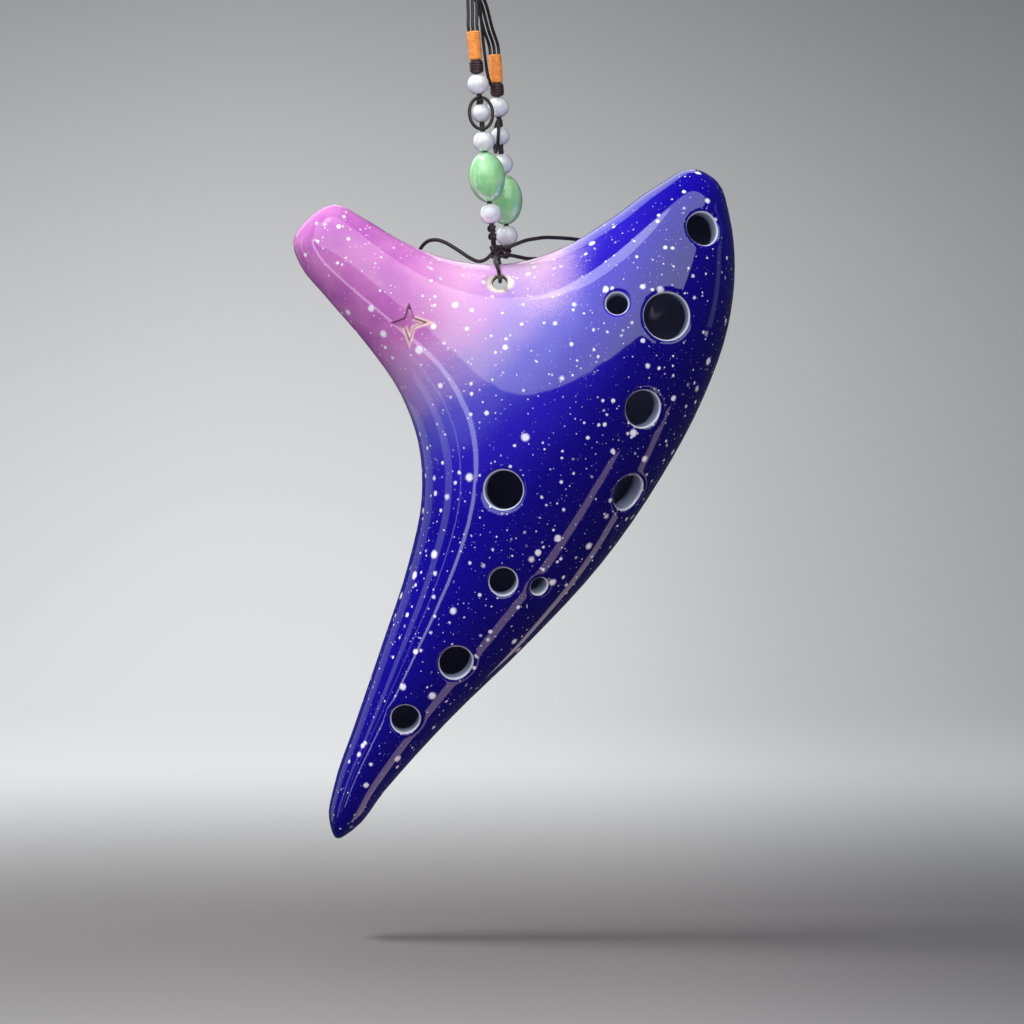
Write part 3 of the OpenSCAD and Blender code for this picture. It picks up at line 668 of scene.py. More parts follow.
def make_wraps(side):
    """The thread wraps of one side: the orange one above the thicker dark one."""
    orange = wound(WRAP_D / 2, DARK_L, DARK_L + ORANGE_L, 0.34)
    dark = wound(WRAP_D / 2 + 0.1, 0, DARK_L, 0.62, lean=-1.0, taper=0.8)
    return [make_piece(side + "_" + kind + "_winding", [(on_side(side, points), faces)],
                       "neck_cord", [side + "_" + kind + "_wrap"], material)
            for kind, (points, faces), material in (("orange", orange, ORANGE),
                                                    ("dark", dark, BROWN))]


join_piece = cord_piece("join_knot_braid", join_knot(), ["join_knot"])
gather_piece = cord_piece("gather_knot_braid", gather_knot(), ["gather_knot"])
middle_piece, _ = single_cord("middle_strand_cord", from_hole(MIDDLE_ROUTE),
                              nodes=["middle_strand"], **THIN)
for number, side in enumerate(SIDES):
    on_cord = [join_piece, gather_piece, make_side_knots(side), make_toggle_loop(side)]
    on_cord += make_wraps(side)
    on_cord += [make_bead(side, kind, 5 * number + i) for i, kind in enumerate(BEADS)]
    if side == "right":
        on_cord.append(middle_piece)
    piece, path = make_side_cord(side)

lanyard, path = single_cord("lanyard_cord", from_hole(LANYARD_ROUTE), CORD_D / 2, ["lanyard_loop"])
for name, route in (("left_tail", LEFT_TAIL_ROUTE), ("right_tail", RIGHT_TAIL_ROUTE),
                    ("short_tail", SHORT_TAIL_ROUTE)):
    tail, path = single_cord(name + "_cord", from_hole(into_knot(route)), CORD_D / 2, [name])
    make_tail_knot(name, route)

hang = np.array(HANGING_ROUTE, float) + (0, 0, CORD_D / 2)
hanging, path = single_cord("hanging_cord", hang, CORD_D / 2, ["hanging_loop"])

# ------------------------------------------------------------------ the ocarina's shape

OUTLINE_STEPS = 4
TABLE_STEP = 0.5
TABLE_BOX = ((-56, 62), (-136, 36))


def closed_outline(points, steps):
    """The closed curve through outline points, with so many steps to a point."""
    b = np.array(points, float)
    a, c, d = np.roll(b, 1, 0), np.roll(b, -1, 0), np.roll(b, -2, 0)
    out = [curve_between(a, b, c, d, k / steps) for k in range(steps)]
    return np.stack(out, 1).reshape(-1, 2)


def arm_distance(x, z):
    return (x - TIP[0]) * ARM[0] + (z - TIP[1]) * ARM[1]


class Pod:
    """The pod-shaped solid inside an outline: y^2 = height(x, z) on its surface."""

    def __init__(self, points, radius):
        (x0, x1), (z0, z1) = TABLE_BOX
        x = np.arange(x0, x1 + 1, TABLE_STEP) + 1e-4
        z = np.arange(z0, z1 + 1, TABLE_STEP) + 1e-4
        x, z = np.meshgrid(x, z, indexing="ij")
        t = np.clip(arm_distance(x, z) / FULL_AT, 0, 1)
        slim = TIP_SLIM + (1 - TIP_SLIM) * t * t * (3 - 2 * t)
        depth = self.depth(closed_outline(points, OUTLINE_STEPS), x, z)
        self.table = np.maximum(slim**2 * 2 * radius * depth, -60.0)

    @staticmethod
    def depth(loop, x, z):
        pull = np.zeros_like(x)
        ax, az = loop[-1, 0] - x, loop[-1, 1] - z
        ra = np.hypot(ax, az)
        for q in loop:
            bx, bz = q[0] - x, q[1] - z
            rb = np.hypot(bx, bz)
            pull += (1 / ra + 1 / rb) * (az * bx - ax * bz) / (ra * rb + ax * bx + az * bz + 1e-9)
            ax, az, ra = bx, bz, rb
        return 2 / pull

    def height(self, x, z):
        """The height and its slopes along x and z, by cubic interpolation in the table."""
        u = (x - TABLE_BOX[0][0]) / TABLE_STEP
        v = (z - TABLE_BOX[1][0]) / TABLE_STEP
        i = np.clip(np.floor(u).astype(int), 1, self.table.shape[0] - 3)
        j = np.clip(np.floor(v).astype(int), 1, self.table.shape[1] - 3)
        u, v = u - i, v - j

        def weights(t):
            return (-0.5 * t + t * t - 0.5 * t**3, 1 - 2.5 * t * t + 1.5 * t**3,
                    0.5 * t + 2 * t * t - 1.5 * t**3, -0.5 * t * t + 0.5 * t**3)

        def slopes(t):
            return (-0.5 + 2 * t - 1.5 * t * t, -5 * t + 4.5 * t * t,
                    0.5 + 4 * t - 4.5 * t * t, -t + 1.5 * t * t)
        wu, wv, su, sv = weights(u), weights(v), slopes(u), slopes(v)
        f = fx = fz = 0
        for m in range(4):
            across = sum(wv[k] * self.table[i + m - 1, j + k - 1] for k in range(4))
            steep = sum(sv[k] * self.table[i + m - 1, j + k - 1] for k in range(4))
            f, fx, fz = f + wu[m] * across, fx + su[m] * across, fz + wu[m] * steep
        return f, fx / TABLE_STEP, fz / TABLE_STEP

    def distance(self, p):
        """About how far points are outside the pod, and less than zero inside."""
        f, fx, fz = self.height(p[:, 0], p[:, 2])
        y = p[:, 1]
        return (y * y - f) / np.sqrt(4 * y * y + fx * fx + fz * fz + 4)

    def surface(self, x, z, side):
        """The point on the front (-1) or the back (1) over x, z, and the outward normal."""
        f, fx, fz = (float(v[0]) for v in self.height(np.array([x]), np.array([z])))
        y = math.sqrt(f)
        out = np.array([-fx / (2 * y), side, -fz / (2 * y)])
        return np.array([x, side * y, z]), out / np.linalg.norm(out)


def soft_max(a, b, k):
    h = np.maximum(k - np.abs(a - b), 0) / k
    return np.maximum(a, b) + h * h * k / 4


def box_distance(p, low, high):
    low, high = np.array(low, float), np.array(high, float)
    q = np.abs(p - (low + high) / 2) - (high - low) / 2
    return np.linalg.norm(np.maximum(q, 0), axis=1) + np.minimum(q.max(1), 0)


outer, chamber = Pod(RIM, RIM_R), Pod(CHAMBER, CHAMBER_R)
HOLES = ([(*outer.surface(x, z, -1), r) for x, z, r in FINGER_HOLES]
         + [(*outer.surface(x, z, 1), r) for x, z, r in THUMB_HOLES])
LANYARD = [outer.surface(0, 0, side) for side in (-1, 1)]
STAR_AT, STAR_OUT = outer.surface(*STAR, -1)
STAR_U = np.cross(STAR_OUT, (0, 0, 1))
STAR_U /= np.linalg.norm(STAR_U)
STAR_V = np.cross(STAR_OUT, STAR_U)
HOLE_DEPTH = 9.0
HOLE_LIP = 1.7


def hole_distance(hole, p):
    """Distances from a finger hole's drilled space and from its wall, below zero inside."""
    centre, out, r = hole
    q = p - centre
    t = q @ out
    rho = np.linalg.norm(q - t[:, None] * out, axis=1)
    deep = min(HOLE_DEPTH, abs(centre[1]) - 1.2)
    return np.maximum(rho - r, -t - deep), rho - r


def star_distance(p):
    """Distance from the star's outline over the surface, and the height above the surface."""
    q = p - STAR_AT
    u, v, t = np.abs(q @ STAR_U), np.abs(q @ STAR_V), q @ STAR_OUT
    u, v = np.maximum(u, v), np.minimum(u, v)
    waist = STAR_WAIST * STAR_R / math.sqrt(2)
    edge = np.array([STAR_R - waist, -waist])
    edge /= np.linalg.norm(edge)
    return u * -edge[1] + v * edge[0] - STAR_R * -edge[1], t


def arm_axes(p):
    """Along the arm, across it, and towards the back."""
    x, z = p[:, 0] - TIP[0], p[:, 2] - TIP[1]
    return np.stack([x * ARM[0] + z * ARM[1], x * ARM[1] - z * ARM[0], p[:, 1]], 1)


def turned(p, origin, slope):
    q = p - origin
    c, s = math.cos(slope), math.sin(slope)
    return np.stack([q[:, 0] * c + q[:, 2] * s, q[:, 1], q[:, 2] * c - q[:, 0] * s], 1)


WINDOW_FLOOR = WINDWAY_FLOOR + WINDWAY_EXIT * math.tan(WINDWAY_SLOPE)
LABIUM_AT = (WINDWAY_EXIT + WINDOW_L - OVERLAP, 0, WINDOW_FLOOR + WINDWAY_H / 2)


def voice_distances(p):
    """Distances from the windway, the window and the labium's ramp."""
    q = arm_axes(p)
    half = WINDWAY_W / 2
    run = WINDWAY_EXIT / math.cos(WINDWAY_SLOPE) + OVERLAP
    low = WINDOW_FLOOR - WINDOW_BELOW
    windway = box_distance(turned(q, (0, 0, WINDWAY_FLOOR), WINDWAY_SLOPE),
                           (-WINDWAY_BEFORE, -half, 0), (run, half, WINDWAY_H))
    window = box_distance(q, (WINDWAY_EXIT, -half, low),
                          (WINDWAY_EXIT + WINDOW_L, half, low + WINDOW_H))
    ramp = box_distance(turned(q, LABIUM_AT, LABIUM_SLOPE), (0, -half, 0), (RAMP_L, half, RAMP_H))
    return windway, window, ramp


def near(p, centre, reach):
    """Which points lie within reach of a centre, and a little further in depth."""
    gap = np.abs(p - centre)
    return np.flatnonzero((gap[:, 0] < reach) & (gap[:, 2] < reach) & (gap[:, 1] < reach + 8))


def near_voice(p):
    """Which points may lie near the windway, the window or the ramp."""
    return np.flatnonzero((p[:, 0] < 12) & (p[:, 2] > -40) & (p[:, 1] > -6))


def body_distance(p):
    """About how far points are outside the fired clay; less than zero inside it."""
    d = outer.distance(p)
    outside = d.copy()
    d = np.maximum(d, -chamber.distance(p))
    for hole in HOLES:
        i = near(p, hole[0], hole[2] + 4)
        d[i] = soft_max(d[i], -hole_distance(hole, p[i])[0], HOLE_LIP)
    for at, out in LANYARD:
        i = near(p, at, DIMPLE_R + 6)
        ball = np.linalg.norm(p[i] - (at + DIMPLE_RISE * DIMPLE_R * out), axis=1) - DIMPLE_R
        d[i] = soft_max(d[i], -ball, 0.9)
    i = np.flatnonzero(np.hypot(p[:, 0], p[:, 2]) < LANYARD_R + 3)
    d[i] = soft_max(d[i], LANYARD_R - np.hypot(p[i, 0], p[i, 2]), 0.7)
    i = near(p, STAR_AT, STAR_R + 3)
    flat, t = star_distance(p[i])
    d[i] = soft_max(d[i], -np.maximum(flat, outside[i] * -1 - STAR_DEPTH), 0.35)
    i = near_voice(p)
    windway, window, ramp = voice_distances(p[i])
    d[i] = soft_max(soft_max(soft_max(d[i], -windway, 0.4), -window, 0.35), -ramp, 0.35)
    return d


def gradient(p, step=0.02):
    g = np.empty_like(p)
    for k in range(3):
        shift = np.zeros(3)
        shift[k] = step
        g[:, k] = (body_distance(p + shift) - body_distance(p - shift)) / (2 * step)
    return g


def settle(p, rounds=3, limit=0.35):
    """Moves points onto the surface."""
    for _ in range(rounds):
        d = body_distance(p)
        g = gradient(p)
        move = d[:, None] * g / np.maximum((g * g).sum(1), 0.05)[:, None]
        size = np.linalg.norm(move, axis=1)[:, None]
        p = p - move * np.minimum(1, limit / np.maximum(size, 1e-9))
    return p


def untangle(d):
    """Flips the weakest corner of each grid square whose corners alternate, so no sheets touch."""
    corners = ((0, 0), (0, 1), (1, 1), (1, 0))
    found = 1
    while found:
        found = 0
        for axis in range(3):
            u, v = (axis + 1) % 3, (axis + 2) % 3
            views = []
            for i, j in corners:
                cut = [slice(None)] * 3
                cut[u], cut[v] = slice(i, d.shape[u] - 1 + i), slice(j, d.shape[v] - 1 + j)
                views.append(d[tuple(cut)])
            a, b, c, e = (view < 0 for view in views)
            for at in np.argwhere((a == c) & (b == e) & (a != b)):
                values = [view[tuple(at)] for view in views]
                k = int(np.argmin(np.abs(values)))
                at[u] += corners[k][0]
                at[v] += corners[k][1]
                d[tuple(at)] = -math.copysign(1e-3, values[k])
                found += 1


def surface_net(pitch, low, high):
    """A closed triangle mesh of the body from a grid of distances."""
    axes = [np.arange(a, b + pitch, pitch) for a, b in zip(low, high)]
    shape = tuple(len(a) for a in axes)
    grid = np.stack(np.meshgrid(*axes, indexing="ij"), -1).reshape(-1, 3)
    d = np.full(len(grid), 9.0)
    rough = outer.distance(grid)
    i = np.flatnonzero(rough < 3)
    d[i] = body_distance(grid[i])
    d = d.reshape(shape)
    untangle(d)
    inside = d < 0
    cells = tuple(n - 1 for n in shape)
    total, count = np.zeros(cells + (3,)), np.zeros(cells)
    quads = []
    for axis in range(3):
        low_side = tuple(slice(0, -1) if k == axis else slice(None) for k in range(3))
        high_side = tuple(slice(1, None) if k == axis else slice(None) for k in range(3))
        cross = np.argwhere(inside[low_side] != inside[high_side])
        a = d[low_side][tuple(cross.T)]
        b = d[high_side][tuple(cross.T)]
        at = cross.astype(float)
        at[:, axis] += a / (a - b)
        u, v = (axis + 1) % 3, (axis + 2) % 3
        around = []
        for du, dv in ((-1, -1), (0, -1), (0, 0), (-1, 0)):
            cell = cross.copy()
            cell[:, u] += du
            cell[:, v] += dv
            np.add.at(total, tuple(cell.T), at)
            np.add.at(count, tuple(cell.T), 1)
            around.append(np.ravel_multi_index(cell.T, cells))
        around = np.stack(around, 1)
        around[a > b] = around[a > b][:, ::-1]
        quads.append(around)
    quads = np.concatenate(quads)
    used, quads = np.unique(quads, return_inverse=True)
    quads = quads.reshape(-1, 4)
    where = (total.reshape(-1, 3)[used] / count.reshape(-1)[used][:, None])
    points = where * pitch + np.array([a[0] for a in axes])
    p = points[quads]
    short = (np.linalg.norm(p[:, 0] - p[:, 2], axis=1) < np.linalg.norm(p[:, 1] - p[:, 3], axis=1))
    first = np.where(short[:, None], quads[:, [0, 1, 2]], quads[:, [0, 1, 3]])
    second = np.where(short[:, None], quads[:, [0, 2, 3]], quads[:, [1, 2, 3]])
    return points, np.concatenate([first, second])


def rim_distance(p):
    """Distance outwards from the wall of the nearest hole."""
    best = np.full(len(p), 99.0)
    for hole in HOLES:
        i = near(p, hole[0], hole[2] + 4)
        best[i] = np.minimum(best[i], hole_distance(hole, p[i])[1])
    return best


def feature_distance(p):
    """How far points are from any small feature that needs a finer mesh."""
    best = np.abs(rim_distance(p))
    for at, out in LANYARD:
        i = near(p, at, DIMPLE_R + 4)
        best[i] = np.minimum(best[i], np.maximum(np.linalg.norm(p[i] - at, axis=1) - 4.2, 0))
    i = near(p, STAR_AT, STAR_R + 3)
    flat, t = star_distance(p[i])
    best[i] = np.minimum(best[i], np.where(np.abs(t) < 2, np.maximum(np.abs(flat) - 0.2, 0), 9))
    i = near_voice(p)
    for d in voice_distances(p[i]):
        best[i] = np.minimum(best[i], np.abs(d) + 0.3)
    return best


def split_long_edges(points, triangles, marked, longest):
    """Halves marked edges and cuts each triangle to suit, keeping the mesh whole."""
    edges = np.sort(np.stack([triangles, np.roll(triangles, -1, 1)], -1).reshape(-1, 2), 1)
    unique, index = np.unique(edges, axis=0, return_inverse=True)
    index = index.reshape(-1, 3)
    size = np.linalg.norm(points[unique[:, 0]] - points[unique[:, 1]], axis=1)
    cut = marked[unique].all(1) & (size > longest)
    number = np.full(len(unique), -1)
    number[cut] = len(points) + np.arange(cut.sum())
    middle = (points[unique[cut, 0]] + points[unique[cut, 1]]) / 2
    mids = number[index]
    has = mids >= 0
    code = has.sum(1)
    out = [triangles[code == 0]]
    for k in range(3):
        one = np.flatnonzero((code == 1) & has[:, k])
        a, b, c = (triangles[one, (k + j) % 3] for j in range(3))
        m = mids[one, k]
        out += [np.stack([a, m, c], 1), np.stack([m, b, c], 1)]
        two = np.flatnonzero((code == 2) & ~has[:, k])
        a, b, c = (triangles[two, (k + j) % 3] for j in range(3))
        m, n = mids[two, (k + 1) % 3], mids[two, (k + 2) % 3]
        out += [np.stack([m, c, n], 1), np.stack([a, b, m], 1), np.stack([a, m, n], 1)]
    full = np.flatnonzero(code == 3)
    a, b, c = triangles[full].T
    m, n, o = mids[full].T
    out += [np.stack(t, 1) for t in ((a, m, o), (m, b, n), (o, n, c), (m, n, o))]
    return np.concatenate([points, middle]), np.concatenate(out)


def relax(points, triangles, share=0.5):
    """Evens out the mesh by moving each point towards the middle of its neighbours."""
    edges = np.concatenate([triangles[:, [0, 1]], triangles[:, [1, 2]], triangles[:, [2, 0]]])
    total, count = np.zeros_like(points), np.zeros(len(points))
    for a, b in ((0, 1), (1, 0)):
        np.add.at(total, edges[:, a], points[edges[:, b]])
        np.add.at(count, edges[:, a], 1)
    return points + share * (total / count[:, None] - points)


PITCH = 0.85
BODY_LOW, BODY_HIGH = (-49.4, -21.3, -129.6), (55.8, 21.2, 28.4)


def body_mesh():
    points, triangles = surface_net(PITCH, BODY_LOW, BODY_HIGH)
    points = settle(points, 2)
    for _ in range(2):
        points = settle(relax(points, triangles), 2)
    for band, longest in ((1.2, 0.55), (0.7, 0.28)):
        marked = feature_distance(points) < band
        points, triangles = split_long_edges(points, triangles, marked, longest)
        points = settle(points, 2, 0.2)
    return points, triangles


# ------------------------------------------------------------------ glaze


def to_ocarina(n):
    """The place in the ocarina's own axes, in mm."""
    node = n.tree.nodes.new("ShaderNodeMapping")
    n.put(node.inputs["Vector"], n.place)
    node.inputs["Scale"].default_value = (1000,) * 3
    node.inputs["Rotation"].default_value = (0, -LEAN, 0)
    c, s = math.cos(LEAN), math.sin(LEAN)
    hole = row((0, 0, 0))
    node.inputs["Location"].default_value = (-(hole[0] * c - hole[2] * s), 0,
                                             -(hole[0] * s + hole[2] * c))
    return node.outputs[0]


def spots(n, place, cell, share, small, large, soft):
    """A mask of round spots, one in a share of the cells of that size, in mm."""
    voronoi = n.tree.nodes.new("ShaderNodeTexVoronoi")
    n.put(voronoi.inputs["Vector"], place)
    voronoi.inputs["Scale"].default_value = 1 / cell
    pick = n.new("SeparateColor", 0, {"Color": voronoi.outputs["Color"]})
    other = n.new("SeparateColor", 1, {"Color": voronoi.outputs["Color"]})
    radius = n.fit(n.math("POWER", other, 2.2), 0, 1, small / cell, large / cell, smooth=False)
    there = n.math("LESS_THAN", pick, share)
    edge = n.fit(voronoi.outputs["Distance"], n.math("MULTIPLY", radius, 1 - soft),
                 n.math("MULTIPLY", radius, 1 + soft * 0.3), 1, 0)
    return n.math("MULTIPLY", edge, there)


def flat_distance(n, place, x, z):
    """Distance in the plane of the outline from a point, whatever the depth."""
    gap = n.vector("MULTIPLY", n.vector("SUBTRACT", place, (x, 0, z)), (1, 0, 1))
    return n.vector("LENGTH", gap, output="Value")


# The sprayed colours by distance from the mouthpiece, in mm.
SPRAY = [(29, 38, srgb(188, 140, 200)), (36, 45, srgb(148, 126, 200)),
         (44, 53, srgb(80, 76, 192)), (52, 62, srgb(38, 24, 174)), (61, 76, srgb(14, 4, 142))]
# The splashed dots: cell, share, least and most radius, softness, strength.
DOTS = [(3.9, 0.82, 0.5, 1.1, 0.45, 0.97), (2.3, 0.72, 0.24, 0.56, 0.5, 0.95),
        (1.2, 0.66, 0.12, 0.26, 0.6, 0.8), (0.72, 0.6, 0.06, 0.12, 0.6, 0.5)]


def glaze_material():
    n = Nodes("glaze")
    place = to_ocarina(n)
    cloud = n.noise(0.055, 2, 0.5, place)
    grain = n.noise(3.2, 3, 0.75, place)
    drift = n.math("MULTIPLY_ADD", n.math("SUBTRACT", cloud, 0.5), 12,
                   n.math("MULTIPLY", n.math("SUBTRACT", grain, 0.5), 10))
    reach = n.math("ADD", flat_distance(n, place, -35, 15), drift)
    pink = n.mix(n.fit(n.noise(0.11, 2, 0.5, place), 0.3, 0.7), srgb(174, 92, 176),
                 srgb(195, 120, 188))
    halo = flat_distance(n, place, 2, -1)
    pink = n.mix(n.fit(n.math("ADD", halo, drift), 25, 6, 0, 0.8), pink, srgb(216, 170, 203))
    colour = pink
    for low, high, shade in SPRAY:
        colour = n.mix(n.fit(reach, low, high), colour, shade)
    pale = n.math("ADD", flat_distance(n, place, 8, 6), drift)
    colour = n.mix(n.fit(pale, 15, 3, 0, 0.85), colour, srgb(214, 174, 207))
    # Deep navy towards the right and lower rim: partly the glaze's own darker blue there, partly
    # painted shade on the side turned away from the light.
    across = n.vector("DOT_PRODUCT", place, (0.83, 0, -0.56), output="Value")
    colour = n.mix(n.fit(across, 22, 52, 0, 0.85), colour, srgb(7, 1, 78))
    fine = n.fit(grain, 0.5, 0.78, 0, 0.1)
    colour = n.mix(fine, colour, srgb(120, 84, 206))

    wobble = n.vector("SUBTRACT", n.noise(1.6, 2, 0.6, place, "Color"), (0.5,) * 3)
    wavy = n.vector("ADD", place, n.vector("SCALE", wobble, scale=0.4))
    crowd = n.fit(n.noise(0.07, 1, 0.5, place), 0.36, 0.6, 0.6, 1.0)
    white = None
    for cell, share, small, large, soft, strength in DOTS:
        layer = n.math("MULTIPLY", spots(n, wavy, cell, n.math("MULTIPLY", crowd, share), small,
                                         large, soft), strength)
        white = layer if white is None else n.math("MAXIMUM", white, layer)
    colour = n.mix(white, colour, srgb(238, 234, 250))

    names = ("deep", "rim", "inner", "mark", "glint")
    deep, rim, inner, mark, glint = (n.attribute(name) for name in names)
    lanyard = flat_distance(n, place, 0, 0)
    dimple = n.math("MULTIPLY", n.fit(lanyard, 4.4, 2.2), n.fit(deep, 0.05, 0.7))
    colour = n.mix(dimple, colour, srgb(234, 224, 212))
    groove = n.fit(mark, 0.3, 0.06, 0, 0.7)
    # A painted highlight: a warm pale tint just inside the star's lower-right edge, where the glint
    # mask is set.
    colour = n.mix(n.math("MULTIPLY", n.fit(mark, 0.9, 0.3), glint), colour, srgb(250, 220, 196))
    colour = n.mix(groove, colour, srgb(122, 70, 78))
    ring = n.fit(rim, 0.5, 0.26)
    # The hole walls: white at the lip, then grey-blue, and darker grey-blue further in, which is
    # painted shade.
    wall = n.mix(n.fit(deep, 0.3, 1.3), srgb(240, 242, 250), srgb(142, 152, 178))
    wall = n.mix(n.fit(deep, 1.6, 5.0), wall, srgb(96, 104, 134))
    colour = n.mix(ring, colour, wall)
    colour = n.mix(n.fit(inner, 0.3, 0.7), colour, srgb(116, 118, 160))
    n.set(Base_Color=colour, Roughness=n.fit(grain, 0.3, 0.8, 0.03, 0.07), IOR=1.5,
          Coat_Weight=0.35, Coat_Roughness=0.03, Coat_IOR=1.5)
    swell = n.noise(0.16, 1, 0.4, place)
    raised = n.math("ADD", n.math("MULTIPLY", swell, 1.2), n.math("MULTIPLY", white, 0.03))
    n.bump(raised, 0.22, 0.0002)
    return n.material


GLAZE = glaze_material()


def cut_part(whole, planes):
    """A copy of the body cut by planes, with the cuts filled and left flat."""
    part = whole.copy()
    for face in part.faces:
        face.smooth = True
    for at, normal in planes:
        geometry = part.verts[:] + part.edges[:] + part.faces[:]
        bmesh.ops.bisect_plane(part, geom=geometry, dist=1e-4, plane_co=at, plane_no=normal,
                               clear_outer=True)
        edges = [e for e in part.edges if e.is_boundary]
        filled = bmesh.ops.triangle_fill(part, use_beauty=True, edges=edges, normal=normal)
        for item in filled["geom"]:
            if isinstance(item, bmesh.types.BMFace):
                item.smooth = False
    return part


def glaze_masks(points):
    """What the glaze needs to know at each point: depths and distances in mm, or shares."""
    mark, height = star_distance(points)
    mark = np.where(np.abs(height) < 3, np.minimum(np.abs(mark), 5), 5)
    # The glint mask marks the star's lower-right edge for a painted highlight.
    lower_right = (points - STAR_AT) @ np.array((0.7, 0, -0.7)) > 0
    return {"deep": np.clip(-outer.distance(points), 0, 12),
            "rim": np.minimum(rim_distance(points), 20), "mark": mark,
            "glint": (lower_right & (mark < 2)) * 0.6,
            "inner": (chamber.distance(points) < 0.4) * 1.0}


def values_of(items, key, width=1, kind=float):
    """One value, or a row of them, for each vertex, corner or face of a mesh."""
    values = np.zeros(len(items) * width, kind)
    items.foreach_get(key, values)
    return values.reshape(-1, width) if width > 1 else values


def make_body_piece(name, whole, planes, node):
    """One of the clay pieces: the body cut by planes, with normals from its exact shape."""
    part = cut_part(whole, planes)
    mesh = bpy.data.meshes.new(name)
    part.to_mesh(mesh)
    part.free()
    points = values_of(mesh.vertices, "co", 3)
    for key, values in glaze_masks(points).items():
        mesh.attributes.new(key, "FLOAT", "POINT").data.foreach_set("value", values.astype("f4"))
    out = gradient(points)
    out /= np.maximum(np.linalg.norm(out, axis=1), 1e-6)[:, None]
    mesh.vertices.foreach_set("co", (row(points) * MM).ravel())
    mesh.update()
    out = row(out) - row(np.zeros(3))
    normals = out[values_of(mesh.loops, "vertex_index", kind=int)]
    curved = values_of(mesh.polygons, "use_smooth", kind=bool)
    of_face = np.repeat(np.arange(len(curved)), values_of(mesh.polygons, "loop_total", kind=int))
    flat = ~curved[of_face]
    normals[flat] = values_of(mesh.polygons, "normal", 3)[of_face][flat]
    mesh.polygons.foreach_set("use_smooth", [True] * len(mesh.polygons))
    mesh.normals_split_custom_set(normals.tolist())
    mesh.materials.append(GLAZE)
    piece = add_object(name, mesh)
    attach(piece, "ocarina")
    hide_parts(node)


def make_ocarina():
    points, triangles = body_mesh()
    whole = bmesh.new()
    mesh = bpy.data.meshes.new("whole")
    mesh.from_pydata(points.tolist(), [], triangles.tolist())
    whole.from_mesh(mesh)
    bpy.data.meshes.remove(mesh)
    arm = np.array((ARM[0], 0, ARM[1]))
    cut = np.array((TIP[0], 0, TIP[1])) + arm * MOUTHPIECE_L
    make_body_piece("glazed_mouthpiece", whole, [(cut, arm)], "mouthpiece")
    make_body_piece("glazed_front", whole, [(cut, -arm), ((0, 0, 0), (0, 1, 0))], "front_shell")
    make_body_piece("glazed_back", whole, [(cut, -arm), ((0, 0, 0), (0, -1, 0))], "back_shell")
    whole.free()


make_ocarina()

# ------------------------------------------------------------------ studio

FLOOR_Z = -0.243
CARD_Z = -0.232
FLOOR_R, SWEEP_R, WALL_TOP = 1.1, 0.5, 2.2
AIM = Vector((0, 0, -0.14))


def stage_material():
    """A pale backdrop with painted light: it glows by itself, brightest low on the far side and to
    the left, and its base colour is painted shade.
    """
    n = Nodes("studio_paper")
    parts = n.tree.nodes.new("ShaderNodeSeparateXYZ")
    n.put(parts.inputs[0], n.place)
    x, _, height = parts.outputs
    level = n.vector("MULTIPLY", n.place, (1, 1, 0))
    # Painted light: the backdrop glows by itself, more away from the object, lower down and towards
    # the left, so the floor round the object stays darker as painted shade.
    far = n.fit(n.vector("LENGTH", level, output="Value"), -0.05, 0.72)
    wide = n.math("MULTIPLY", n.fit(x, -0.2, 0.5, 1.0, 0.3), n.fit(x, -0.12, -0.5, 1.0, 0.8))
    painted_glow = n.math("MULTIPLY", n.math("MULTIPLY", far, n.fit(height, 0.0, 0.66, 1.0, 0.1)), wide)
    # Base colour with painted shade: darker to the right, a little darker to the left, and an even
    # grey up the wall.
    painted_shade_paper = n.mix(n.fit(x, 0.0, 0.14), srgb(103, 100, 100), srgb(58, 56, 59))
    painted_shade_paper = n.mix(n.fit(x, -0.05, -0.16), painted_shade_paper, srgb(89, 86, 86))
    painted_shade_paper = n.mix(n.fit(height, 0.0, 0.3), painted_shade_paper, srgb(100, 99, 100))
    n.set(Base_Color=painted_shade_paper, Roughness=0.9, Emission_Color=(0.95, 0.98, 1.0),
          Emission_Strength=n.math("MULTIPLY", painted_glow, 0.7))
    return n.material


def make_stage():
    """A round floor that rises all round into a backdrop, in one wide curve."""
    sides = 96
    profile = [(r, 0.0) for r in (0.02, 0.1, 0.2, 0.35, 0.5, 0.7, 0.9, FLOOR_R)]
    for a in np.radians(np.linspace(5, 90, 18)):
        profile.append((FLOOR_R + SWEEP_R * math.sin(a), SWEEP_R * (1 - math.cos(a))))
    profile.append((FLOOR_R + SWEEP_R, WALL_TOP))
    a = np.arange(sides) * 2 * math.pi / sides
    points = [(r * math.cos(t), r * math.sin(t), z) for r, z in profile for t in a]
    faces = [tuple(range(sides))]
    for j in range(len(profile) - 1):
        for i in range(sides):
            k = (i + 1) % sides
            faces.append((j * sides + i, (j + 1) * sides + i, (j + 1) * sides + k, j * sides + k))
    mesh = bpy.data.meshes.new("studio")
    mesh.from_pydata(points, [], faces)
    mesh.polygons.foreach_set("use_smooth", [True] * len(faces))
    mesh.materials.append(stage_material())
    studio = add_object("studio", mesh)
    studio.location = (0, 0, FLOOR_Z)
    studio.rotation_euler = (0, LEAN, 0)
    studio.visible_glossy = False


def add_light(name, toward, distance, size, radiance, colour=(1, 1, 1), roll=0.0):
    """A soft box seen from the object in one direction, of an even brightness."""
    data = bpy.data.lights.new(name, "AREA")
    data.shape, data.size, data.size_y = "RECTANGLE", size[0], size[1]
    data.energy, data.color = radiance * math.pi * size[0] * size[1], colour
    light = add_object(name, data)
    out = Vector(toward).normalized()
    turn = (-out).to_track_quat("-Z", "Y").to_matrix() @ Matrix.Rotation(math.radians(roll), 3, "Z")
    light.matrix_world = Matrix.Translation(AIM + out * distance) @ turn.to_4x4()
    light.visible_camera = False
    return light


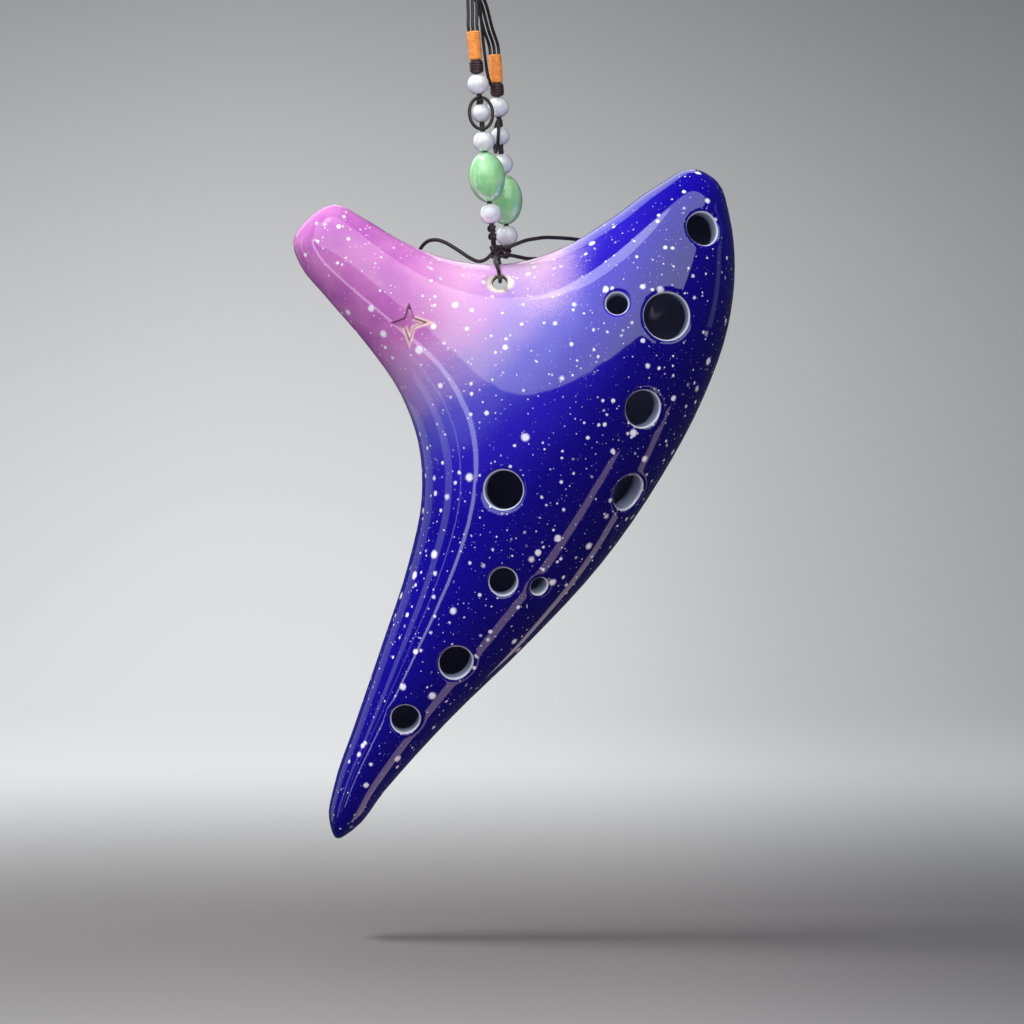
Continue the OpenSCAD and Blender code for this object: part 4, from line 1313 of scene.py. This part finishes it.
def add_card(name, start, end, width, radiance, colour):
    """A low reflector just above the floor between two places, facing up."""
    a, b = Vector((*start, CARD_Z)), Vector((*end, CARD_Z))
    card = add_light(name, (0, 0, -1), 0.1, ((b - a).length, width), radiance, colour)
    turn = Matrix.Rotation(math.atan2(b.y - a.y, b.x - a.x), 4, "Z")
    face_up = Matrix.Rotation(math.pi, 4, "X")
    card.matrix_world = Matrix.Translation((a + b) / 2) @ turn @ face_up


def bearing(azimuth, elevation):
    """The direction that many degrees round from the front, towards the right, and up."""
    a, e = math.radians(azimuth), math.radians(elevation)
    return math.sin(a) * math.cos(e), -math.cos(a) * math.cos(e), math.sin(e)


def make_lights():
    add_light("key", bearing(4, 38), 1.0, (1.84, 1.07), 2.05, roll=-11)
    add_light("glint", (-0.27, -0.44, 0.86), 1.0, (0.2, 0.16), 3.2, (1, 0.98, 0.95))
    add_light("top", bearing(-88, 72), 0.95, (0.45, 0.2), 36).visible_glossy = False
    add_light("left_strip", bearing(-48, 6), 1.15, (0.09, 0.9), 3.4, (0.95, 0.95, 1))
    add_light("far_left_strip", bearing(-84, 8), 1.1, (0.22, 0.9), 0.8).visible_diffuse = False
    add_light("left_sliver", bearing(-66, 8), 1.1, (0.03, 0.9), 1.5).visible_diffuse = False
    add_light("back_left", bearing(-128, 10), 1.1, (0.5, 0.8), 0.35).visible_diffuse = False
    add_light("back_fill", bearing(200, 40), 1.25, (1.3, 0.8), 1.1)
    add_light("right_strip", bearing(92, 4), 1.1, (0.2, 0.7), 0.3)
    add_card("low_card", (0.16, -0.15), (-0.03, 0.005), 0.02, 1.5, (1, 0.72, 0.7))
    add_card("side_card", (0.23, -0.055), (0.03, 0.07), 0.025, 1.1, (1, 0.8, 0.78))
    world = bpy.data.worlds.new("studio_air")
    bpy.context.scene.world = world
    world.use_nodes = True
    air = world.node_tree.nodes["Background"].inputs
    air["Color"].default_value = (0.2, 0.21, 0.3, 1)
    air["Strength"].default_value = 0.2


make_stage()
make_lights()
bpy.context.scene.view_settings.view_transform = "Standard"
